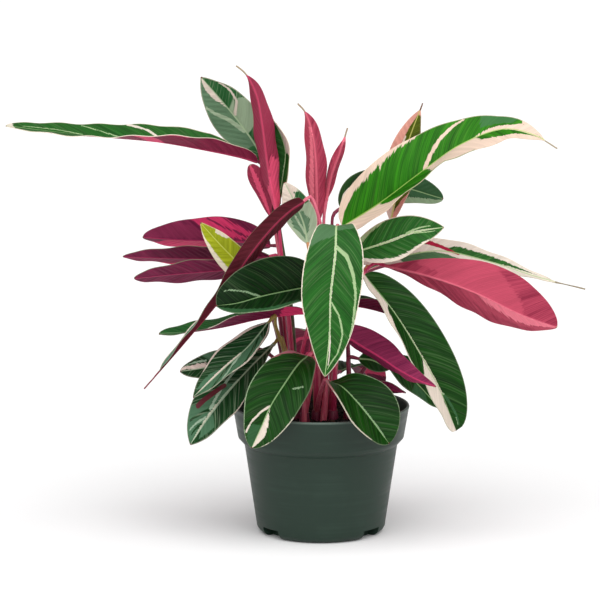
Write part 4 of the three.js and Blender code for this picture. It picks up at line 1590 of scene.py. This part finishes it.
        stalk=((-28, 0, 140), (-52, -1, 166)),
        marks=(
            patch(Tone.SAGE, (0.25, 0.3), (0.55, 0.45), (0.7, 1.2), (0.2, 1.2)),
            patch(Tone.CREAM, (0.5, 0.04), (0.64, 0.02), (0.9, 0.2), (1.05, 0.3), (1.0, 0.9), (0.8, 0.45),
                  (0.62, 0.35)),
            streak(Tone.MILK, 0.7, 0.5, (0.6, 0.5), (0.9, 0.75)),
        ),
    ),
    Leaf(
        "leaf_17", "shoot_left_rear", Finish.CRIMSON, width=18, fold=(12, 20), widest=0.66, full=0.5,
        stem=Stem.ROSE,
        rib=((-45, 25, 283), (-54, 30, 309), (-64, 30, 331)),
        face=((0.3, 0.95, 0),),
        stalk=((-30, 18, 200), (-40, 24, 262)),
        marks=(
            whole(Tone.FLUSH),
            streak(Tone.GLOW, 3.0, 2.0, (0.0, 0.1), (0.5, 0.2), (1.0, 0.1)),
        ),
    ),
    Leaf(
        "leaf_18", "shoot_front", Finish.DEEP, width=54, fold=(20, 24), widest=0.52, full=0.62,
        stem=Stem.ROSE,
        rib=((-12, -30, 166), (-20, -48, 163), (-33, -66, 148), (-45, -78, 131), (-54, -86, 112),
             (-62, -88, 95)),
        face=((0.1, -0.35, 0.9), (0, -0.8, 0.4), (0.05, -0.95, 0.05)),
        stalk=((-14, -19, 140), (-12, -22, 161)),
        marks=(
            patch(Tone.BLUSH, (-0.05, 0.5), (0.1, 0.7), (0.22, 0.9), (0.38, 1.04), (0.38, 1.2), (-0.05, 1.2)),
            patch(Tone.SAGE, (0.78, 0.05), (0.86, 0.02), (1.05, 0.1), (1.0, 0.9), (0.84, 0.7)),
            patch(Tone.CREAM, (0.66, -0.03), (0.78, -0.26), (0.88, -0.45), (1.05, -0.3), (1.05, 0.05),
                  (0.85, 0.0)),
            streak(Tone.CREAM, 0.8, 0.8, (0.64, 0.03), (0.73, 0.3), (0.8, 0.52), (0.9, 0.85)),
            streak(Tone.MILK, 0.6, 0.5, (0.39, -0.7), (0.42, -0.5), (0.43, -0.4)),
            streak(Tone.CREAM, 0.4, 0.6, (0.66, -1.0), (0.8, -1.0), (0.95, -0.95)),
            streak(Tone.MILK, 0.3, 0.5, (0.4, 1.0), (0.7, 1.0), (0.95, 0.97)),
        ),
    ),
    Leaf(
        "leaf_19", "shoot_front", Finish.MEADOW, width=54, fold=(8, 8), widest=0.44, stem=Stem.ROSE,
        rib=((14, -46, 287), (13, -66, 289), (12, -84, 268), (8, -92, 233), (7, -94, 198), (3, -90, 160)),
        face=((0, -0.1, 1), (0, -0.95, 0.3), (0, -1, 0.05)),
        stalk=((-6, -22, 160), (8, -26, 240), (12, -32, 276)),
        marks=(
            patch(Tone.SAGE, (-0.05, 0.02), (0.17, 0.04), (0.22, 0.5), (0.3, 1.2), (-0.05, 1.2)),
            patch(Tone.SAGE, (-0.05, -0.02), (0.16, -0.04), (0.14, -1.2), (-0.05, -1.2)),
            streak(Tone.MILK, 1.6, 0.7, (0.26, -0.03), (0.31, -0.4), (0.4, -0.66), (0.52, -0.84),
                   (0.75, -0.95)),
            streak(Tone.MILK, 0.6, 1.0, (0.57, -0.03), (0.65, -0.35), (0.75, -0.6), (0.86, -0.66),
                   (0.95, -0.3)),
            streak(Tone.CREAM, 0.8, 0.5, (0.05, 0.0), (0.4, 0.0), (0.97, 0.0)),
            streak(Tone.CREAM, 0.6, 0.9, (0.74, 0.0), (0.84, -0.1), (0.93, -0.2)),
            streak(Tone.CREAM, 0.8, 0.4, (0.0, -1.0), (0.25, -1.0), (0.6, -1.0), (0.97, -0.97)),
            streak(Tone.CREAM, 0.8, 0.4, (0.0, 1.0), (0.25, 1.0), (0.6, 1.0), (0.97, 0.97)),
        ),
    ),
    Leaf(
        "leaf_20", "shoot_right_rear", Finish.FRESH, width=66, fold=(33, 41, 30, 4, 12), widest=0.32,
        tail=0.06, stem=Stem.ROSE,
        rib=((19, -14, 281), (52, -18, 303), (91, -20, 333), (125, -20, 357), (163, -22, 371),
             (189, -24, 366), (210, -26, 354)),
        face=((-0.3, -0.82, 0.6), (-0.38, -0.76, 0.66), (-0.45, -0.56, 0.83), (-0.07, -0.64, 0.85),
              (0.26, -0.75, 0.7)),
        stalk=((11, 8, 200), (12, 0, 262)),
        marks=(
            patch(Tone.CREAM, (-0.05, -0.1), (0.0, -0.3), (0.04, -0.62), (0.12, -0.78), (0.3, -0.86),
                  (0.46, -0.97), (0.5, -1.2), (-0.05, -1.2)),
            streak(Tone.CREAM, 1.0, 0.2, (0.3, -0.95), (0.26, -0.7)),
            streak(Tone.CREAM, 0.8, 0.2, (0.22, -0.9), (0.19, -0.72)),
            streak(Tone.CREAM, 1.7, 1.1, (0.41, -0.02), (0.47, -0.3), (0.55, -0.62), (0.63, -0.95)),
            patch(Tone.CREAM, (-0.05, 0.03), (0.16, 0.03), (0.19, 0.3), (0.26, 0.75), (0.32, 1.2),
                  (-0.05, 1.2)),
            patch(Tone.CREAM, (0.4, 0.03), (0.62, 0.02), (0.67, 0.38), (0.77, 0.62), (0.9, 0.3), (1.05, 0.2),
                  (1.05, 1.2), (0.44, 1.2), (0.43, 0.5)),
            patch(Tone.CREAM, (0.64, -0.02), (0.72, -0.2), (0.8, -0.34), (0.84, -0.7), (0.82, -1.2),
                  (1.05, -1.2), (1.05, 0.3), (0.9, 0.2), (0.76, 0.03)),
            patch(Tone.SAGE, (0.68, -0.35), (0.8, -0.45), (0.83, -1.2), (0.7, -1.2)),
            streak(Tone.GREEN, 1.6, 1.0, (0.4, 1.02), (0.63, 1.02)),
            streak(Tone.SAGE, 0.7, 0.4, (0.9, -0.3), (0.99, -0.1)),
        ),
    ),
    Leaf(
        "leaf_21", "shoot_right_rear", Finish.OLIVE, width=30, fold=(10, 10), widest=0.48, tail=0.06,
        stem=Stem.ORANGE,
        rib=((63, 10, 282), (69, 16, 314), (78, 18, 352), (91, 14, 389)),
        face=((-0.3, -0.9, 0.1),),
        stalk=((22, 14, 200), (54, 8, 262)),
        marks=(
            patch(Tone.CREAM, (-0.05, -1.2), (0.7, -1.2), (0.7, -0.3), (0.45, -0.1), (0.2, 0.1),
                  (-0.05, 0.2)),
            patch(Tone.BLUSH, (0.42, -0.5), (0.8, -0.36), (0.9, -0.1), (0.9, 1.2), (1.05, 1.2), (1.05, -1.2),
                  (0.42, -1.2)),
            patch(Tone.BLUSH, (-0.05, 0.05), (0.1, 0.3), (0.3, 1.2), (-0.05, 1.2)),
        ),
    ),
    Leaf(
        "leaf_22", "shoot_right_rear", Finish.DEEP, width=36, fold=(10, 10), full=0.5, stem=Stem.MAROON,
        rib=((18, 36, 290), (37, 42, 306), (73, 46, 307), (111, 44, 297)),
        face=((0, -0.8, 0.6),),
        stalk=((12, 20, 200), (10, 32, 272)),
        marks=(
            patch(Tone.SAGE, (0.6, -1.2), (0.66, 0.1), (0.62, 1.2), (1.05, 1.2), (1.05, -1.2)),
            patch(Tone.MILK, (0.68, 0.6), (0.9, 0.45), (1.05, 0.4), (1.05, 1.2), (0.62, 1.2)),
            streak(Tone.CREAM, 1.0, 0.8, (0.0, -0.4), (0.1, -0.55), (0.3, -0.4)),
        ),
    ),
    Leaf(
        "leaf_23", "shoot_back", Finish.DEEP, width=42, fold=(12, 10), stem=Stem.MAROON,
        rib=((18, 50, 136), (32, 70, 138), (44, 88, 124), (50, 98, 100)),
        face=((0, 0.2, 0.98), (0.4, 0.6, 0.7), (0.5, 0.8, 0.3)),
        stalk=((8, 42, 128),),
        marks=(
            patch(Tone.CREAM, (0.4, 0.03), (0.55, 0.03), (0.68, 1.2), (0.52, 1.2)),
            streak(Tone.MILK, 1.4, 0.8, (0.5, -0.03), (0.7, -0.9)),
        ),
    ),
    Leaf(
        "leaf_24", "shoot_right", Finish.MEADOW, width=38, fold=(6, 6), stem=Stem.ROSE,
        rib=((27, -24, 259), (59, -34, 271), (83, -40, 281), (109, -44, 286)),
        face=((0, -0.93, 0.37),),
        stalk=((14, -8, 180), (20, -18, 240)),
        marks=(
            patch(Tone.MILK, (-0.05, -0.2), (0.1, -0.45), (0.25, -0.78), (0.45, -0.95), (0.45, -1.2),
                  (-0.05, -1.2)),
            patch(Tone.CREAM, (-0.05, 0.4), (0.12, 0.72), (0.5, 0.84), (0.84, 0.86), (0.84, 1.2),
                  (-0.05, 1.2)),
            streak(Tone.CREAM, 0.6, 1.0, (0.1, 0.0), (0.6, 0.0), (0.95, 0.0)),
            streak(Tone.MILK, 0.8, 0.4, (0.62, -0.05), (0.86, -0.32)),
            streak(Tone.MILK, 0.6, 0.4, (0.7, 0.05), (0.9, 0.3)),
        ),
    ),
    Leaf(
        "leaf_25", "shoot_right", Finish.MEADOW, width=29, fold=(10, 10), widest=0.36, tail=0.14,
        stem=Stem.CRIMSON,
        rib=((31, -4, 248), (71, 0, 252), (107, 4, 256), (152, 6, 246), (193, 4, 233), (238, 0, 222)),
        face=((0, -0.55, 0.83),),
        stalk=((14, -6, 180), (20, -4, 236)),
        marks=(
            whole(Tone.CREAM),
            patch(Tone.SAGE, (0.17, 0.1), (0.27, -0.05), (0.36, 0.2), (0.46, 0.75), (0.4, 1.0), (0.2, 0.9)),
            patch(Tone.GREEN, (0.38, -0.12), (0.42, -0.52), (0.58, -0.56), (0.8, -0.42), (0.7, -0.18),
                  (0.56, 0.04), (0.47, 0.04)),
            streak(Tone.BLUSH, 2.4, 1.0, (0.28, -1.0), (0.34, -0.5), (0.44, 0.12)),
        ),
    ),
    Leaf(
        "leaf_26", "shoot_right", Finish.ROSE, width=62, fold=(24, 24), widest=0.64, full=0.6,
        stem=Stem.CRIMSON,
        rib=((57, -14, 246), (97, -24, 238), (137, -32, 225), (178, -36, 206), (211, -36, 194)),
        face=((0.18, 0.88, 0.38), (0.2, 0.9, 0.3), (0.2, 0.85, 0.45)),
        stalk=((16, -6, 180), (34, -10, 232)),
        marks=(
            whole(Tone.FLUSH),
            patch(Tone.PLAIN, (-0.05, -0.02), (0.4, -0.02), (0.46, -0.3), (0.6, -0.6), (0.9, -0.75),
                  (0.9, -1.2), (-0.05, -1.2)),
            patch(Tone.PLAIN, (-0.05, 0.02), (0.25, 0.02), (0.3, 0.3), (0.16, 0.7), (0.2, 1.2), (-0.05, 1.2)),
            patch(Tone.PLAIN, (0.86, 0.02), (0.76, 0.4), (0.64, 0.7), (0.5, 1.2), (1.05, 1.2), (1.05, 0.02)),
            patch(Tone.GLOW, (0.42, -0.02), (1.0, -0.02), (1.0, -0.4), (0.84, -0.55), (0.62, -0.3)),
        ),
    ),
    Leaf(
        "leaf_27", "shoot_right", Finish.DEEP, width=54, fold=(40, 32), widest=0.5, full=0.4, stem=Stem.ROSE,
        rib=((38, -34, 241), (64, -50, 211), (85, -60, 179), (106, -64, 141), (120, -62, 105)),
        face=((0.52, -0.77, 0.47), (0.49, -0.83, 0.35)),
        stalk=((14, -10, 180), (24, -24, 236)),
        marks=(
            patch(Tone.CREAM, (-0.05, 0.03), (0.17, 0.03), (0.25, 0.5), (0.42, 0.97), (0.42, 1.2),
                  (-0.05, 1.2)),
            patch(Tone.CREAM, (0.5, 0.02), (0.76, 0.04), (0.82, 0.14), (1.05, 0.06), (1.05, 1.2),
                  (0.66, 1.2), (0.62, 0.5)),
            streak(Tone.CREAM, 0.5, 0.9, (0.2, 0.0), (0.5, 0.0), (0.78, 0.0)),
            streak(Tone.CREAM, 0.5, 0.5, (0.25, 1.0), (0.5, 1.0), (0.7, 1.0)),
            streak(Tone.MILK, 0.8, 0.4, (0.78, -0.05), (0.87, -0.25), (0.97, -0.35)),
            streak(Tone.SAGE, 1.4, 0.9, (0.8, -0.1), (0.9, -0.3), (0.97, -0.45)),
        ),
    ),
    Leaf(
        "leaf_28", "shoot_right", Finish.MAROON, width=35, fold=(36, 30), widest=0.34, stem=Stem.CRIMSON,
        rib=((14, -26, 189), (33, -42, 180), (52, -61, 172), (70, -83, 164), (86, -96, 158),
             (101, -100, 153)),
        face=((0.64, 0.74, 0.19), (0.6, 0.74, 0.25)),
        stalk=((12, -13, 150), (8, -20, 183)),
        marks=(
            whole(Tone.PLAIN),
            patch(Tone.FLUSH, (0.55, -1.2), (0.62, -0.1), (1.05, -0.05), (1.05, -1.2)),
        ),
    ),
    Leaf(
        "leaf_29", "shoot_right_low", Finish.DEEP, width=34, fold=(20, 20), stem=Stem.MAROON,
        rib=((57, 10, 158), (82, 4, 139), (107, -2, 113)),
        face=((0.4, -0.7, 0.5),),
        stalk=((30, 6, 130), (46, 10, 158)),
        marks=(patch(Tone.SAGE, (0.55, 0.1), (0.75, 0.1), (0.9, 1.2), (0.6, 1.2)),),
    ),
    Leaf(
        "leaf_30", "shoot_centre", Finish.DEEP, width=60, fold=(32, 28), widest=0.6, full=0.56,
        stem=Stem.ROSE,
        rib=((8, -38, 144), (19, -56, 143), (31, -68, 133), (45, -76, 117), (60, -80, 97)),
        face=((0.3, -0.6, 0.7), (0.4, -0.8, 0.45)),
        stalk=((-1, -20, 130), (2, -28, 141)),
        marks=(
            streak(Tone.BLUSH, 2.6, 1.6, (0.0, 0.9), (0.2, 0.96), (0.4, 1.0)),
            streak(Tone.CREAM, 1.5, 0.6, (0.35, 1.0), (0.5, 1.0), (0.85, 1.0)),
            streak(Tone.MILK, 0.3, 0.6, (0.1, 0.0), (0.6, -0.02), (0.92, -0.03)),
            streak(Tone.MILK, 0.3, 0.3, (0.3, -1.0), (0.6, -1.0), (0.95, -0.97)),
        ),
    ),
    Leaf(
        "leaf_31", "shoot_right_low", Finish.DEEP, width=38, fold=(34, 28), full=0.6, stem=Stem.MAROON,
        rib=((26, 0, 208), (44, 2, 204), (64, 3, 198)),
        face=((0, 0.15, 1), (0, 0.1, 1)),
        stalk=((25, 4, 150), (22, 0, 195)),
        marks=(whole(Tone.PLAIN),),
    ),
    Leaf(
        "leaf_32", "shoot_right_low", Finish.MAROON, width=18, fold=(10, 10), stem=Stem.MAROON,
        rib=((44, -14, 136), (60, -22, 135), (76, -30, 133)),
        face=((0, 0.7, 0.7),),
        stalk=((29, -4, 128),),
    ),
    Leaf(
        "leaf_33", "shoot_right_low", Finish.DEEP, width=22, fold=(10, 10), stem=Stem.MAROON,
        rib=((34, 0, 158), (46, -2, 157), (62, -4, 149)),
        face=((0, -0.8, 0.6),),
        stalk=((26, -1, 140),),
        marks=(streak(Tone.BLUSH, 1.8, 1.5, (0.2, -1.0), (0.45, -0.7), (0.95, -0.5)),),
    ),
    Leaf(
        "leaf_34", "shoot_centre", Finish.SAGE, width=28, fold=(12, 12), stem=Stem.ORANGE,
        rib=((-12, 4, 263), (-16, 10, 281), (-24, 14, 299), (-33, 16, 317)),
        face=((0, -1, 0.1),),
        stalk=((-8, 2, 200), (-9, 2, 245)),
        marks=(
            whole(Tone.MILK),
            patch(Tone.CREAM, (0.5, -1.2), (1.05, -1.2), (1.05, 1.2), (0.86, 1.2), (0.7, 0.0)),
            patch(Tone.SAGE, (0.06, -0.3), (0.3, -0.75), (0.52, -0.6), (0.5, 0.2), (0.34, 0.5), (0.2, 0.3)),
            streak(Tone.MILK, 1.0, 0.6, (0.16, -0.1), (0.34, -0.3), (0.46, -0.35)),
            patch(Tone.GREEN, (0.6, 0.1), (0.8, 0.4), (0.78, 1.2), (0.56, 1.2)),
        ),
    ),
    Leaf(
        "leaf_35", "shoot_back", Finish.MEADOW, width=44, fold=(10, 8), stem=Stem.CRIMSON,
        rib=((6, 62, 262), (8, 84, 254), (12, 104, 216), (10, 112, 170)),
        face=((0, 0.2, 0.98), (0, 0.9, 0.4), (0, 1, 0.1)),
        stalk=((3, 44, 190), (5, 52, 250)),
        marks=(
            patch(Tone.CREAM, (-0.05, -0.7), (0.25, -0.8), (0.5, -0.93), (0.5, -1.2), (-0.05, -1.2)),
            patch(Tone.CREAM, (0.22, 0.03), (0.34, 0.03), (0.48, 1.2), (0.3, 1.2)),
            streak(Tone.CREAM, 1.6, 0.9, (0.5, -0.03), (0.6, -0.5), (0.76, -0.95)),
            patch(Tone.CREAM, (0.7, 0.03), (0.84, 0.03), (1.0, 0.3), (1.0, 1.2), (0.82, 1.2)),
            patch(Tone.SAGE, (0.48, 0.03), (0.6, 0.03), (0.74, 1.2), (0.6, 1.2)),
        ),
    ),
    Leaf(
        "leaf_36", "shoot_back", Finish.SAGE, width=44, fold=(14, 12), stem=Stem.ROSE,
        rib=((-20, 62, 220), (-40, 84, 226), (-62, 104, 217), (-80, 118, 198)),
        face=((-0.3, 0.3, 0.9), (-0.3, 0.4, 0.85)),
        stalk=((-5, 44, 160), (-13, 54, 208)),
        marks=(
            patch(Tone.MILK, (0.2, 0.03), (0.5, 0.03), (0.66, 1.2), (0.3, 1.2)),
            patch(Tone.CREAM, (0.36, 0.03), (0.44, 0.03), (0.6, 1.2), (0.5, 1.2)),
            patch(Tone.SAGE, (0.1, -0.03), (0.6, -0.03), (0.76, -1.2), (0.1, -1.2)),
            patch(Tone.CREAM, (0.6, -0.03), (0.74, -0.03), (0.93, -1.2), (0.76, -1.2)),
        ),
    ),
    Leaf(
        "leaf_37", "shoot_back", Finish.MEADOW, width=42, fold=(14, 12), stem=Stem.MAROON,
        rib=((36, 56, 226), (72, 74, 232), (108, 92, 222), (140, 104, 202)),
        face=((0.2, 0.3, 0.93), (0.3, 0.4, 0.86)),
        stalk=((10, 42, 170), (26, 50, 218)),
        marks=(
            patch(Tone.CREAM, (-0.05, 0.72), (0.3, 0.8), (0.5, 0.94), (0.5, 1.2), (-0.05, 1.2)),
            patch(Tone.CREAM, (0.3, -0.03), (0.42, -0.03), (0.6, -1.2), (0.44, -1.2)),
            streak(Tone.CREAM, 1.7, 0.9, (0.52, 0.03), (0.64, 0.5), (0.8, 0.95)),
            streak(Tone.MILK, 1.2, 0.6, (0.66, -0.03), (0.86, -0.8)),
            patch(Tone.CREAM, (0.86, -1.2), (0.9, -0.1), (1.05, -0.1), (1.05, -1.2)),
        ),
    ),
    Leaf(
        "leaf_38", "shoot_back", Finish.SAGE, width=40, fold=(12, 12), stem=Stem.ROSE,
        rib=((26, 58, 270), (48, 76, 296), (68, 90, 310), (86, 98, 310)),
        face=((-0.4, 0.3, 0.85), (0.1, 0.4, 0.9)),
        stalk=((6, 44, 200), (18, 52, 254)),
        marks=(
            patch(Tone.CREAM, (0.1, -0.03), (0.3, -0.03), (0.46, -1.2), (0.1, -1.2)),
            patch(Tone.SAGE, (0.3, -0.03), (0.62, -0.03), (0.8, -1.2), (0.48, -1.2)),
            patch(Tone.CREAM, (0.5, 0.03), (0.68, 0.03), (0.86, 1.2), (0.66, 1.2)),
            patch(Tone.CREAM, (0.9, -1.2), (0.86, 0), (0.92, 1.2), (1.05, 1.2), (1.05, -1.2)),
        ),
    ),
    Leaf(
        "leaf_39", "shoot_back", Finish.SAGE, width=44, fold=(12, 10), stem=Stem.CRIMSON,
        rib=((2, 58, 166), (-4, 78, 166), (-10, 98, 150), (-12, 108, 120)),
        face=((0, 0.2, 0.98), (0, 0.8, 0.6), (0, 1, 0.2)),
        stalk=((2, 44, 150),),
        marks=(
            patch(Tone.CREAM, (0.12, 0.03), (0.36, 0.03), (0.52, 1.2), (0.16, 1.2)),
            patch(Tone.GREEN, (0.2, 0.3), (0.3, 0.25), (0.4, 0.8), (0.28, 0.9)),
            streak(Tone.CREAM, 1.8, 1.0, (0.4, -0.03), (0.52, -0.5), (0.68, -0.95)),
            patch(Tone.MILK, (0.6, 0.03), (0.74, 0.03), (0.9, 1.2), (0.74, 1.2)),
            streak(Tone.CREAM, 1.4, 0.8, (0.7, -0.03), (0.88, -0.7)),
        ),
    ),
)

SHOOTS = (
    Shoot("shoot_left_rear", (-22, 16)),
    Shoot("shoot_centre", (-4, -4), (Sheath((2, -9, 102), (6, -8, 146), 6.5, Stem.ROSE),)),
    Shoot("shoot_right_rear", (9, 12)),
    Shoot("shoot_left", (-30, 32)),
    Shoot("shoot_left_front", (-23, -3)),
    Shoot("shoot_front", (-15, -18), (Sheath((-15, -21, 102), (-15.5, -21.5, 131), 5.4, Stem.ROSE),)),
    Shoot("shoot_right", (11, -6), (Sheath((9, -1, 103), (11, -2, 150), 7.0, Stem.CRIMSON),)),
    Shoot("shoot_right_low", (25, 4)),
    Shoot("shoot_back", (2, 38)),
)


def main() -> None:
    """Build the pot, the soil, the shoots and the leaves, then the studio round them."""
    logging.basicConfig(level=logging.INFO, format="%(name)s: %(message)s")
    pot = Pot()
    settle(pot.build(), "pot")
    settle(Soil(pot).build(), "potting_soil")
    shoots = ShootBuilder()
    for shoot in SHOOTS:
        settle(shoots.build(shoot), shoot.name)
    blades = BladeBuilder()
    for order, leaf in enumerate(LEAVES):
        settle(blades.build(leaf, order), leaf.name)
    Studio().build()


if __name__ == "__main__":
    main()
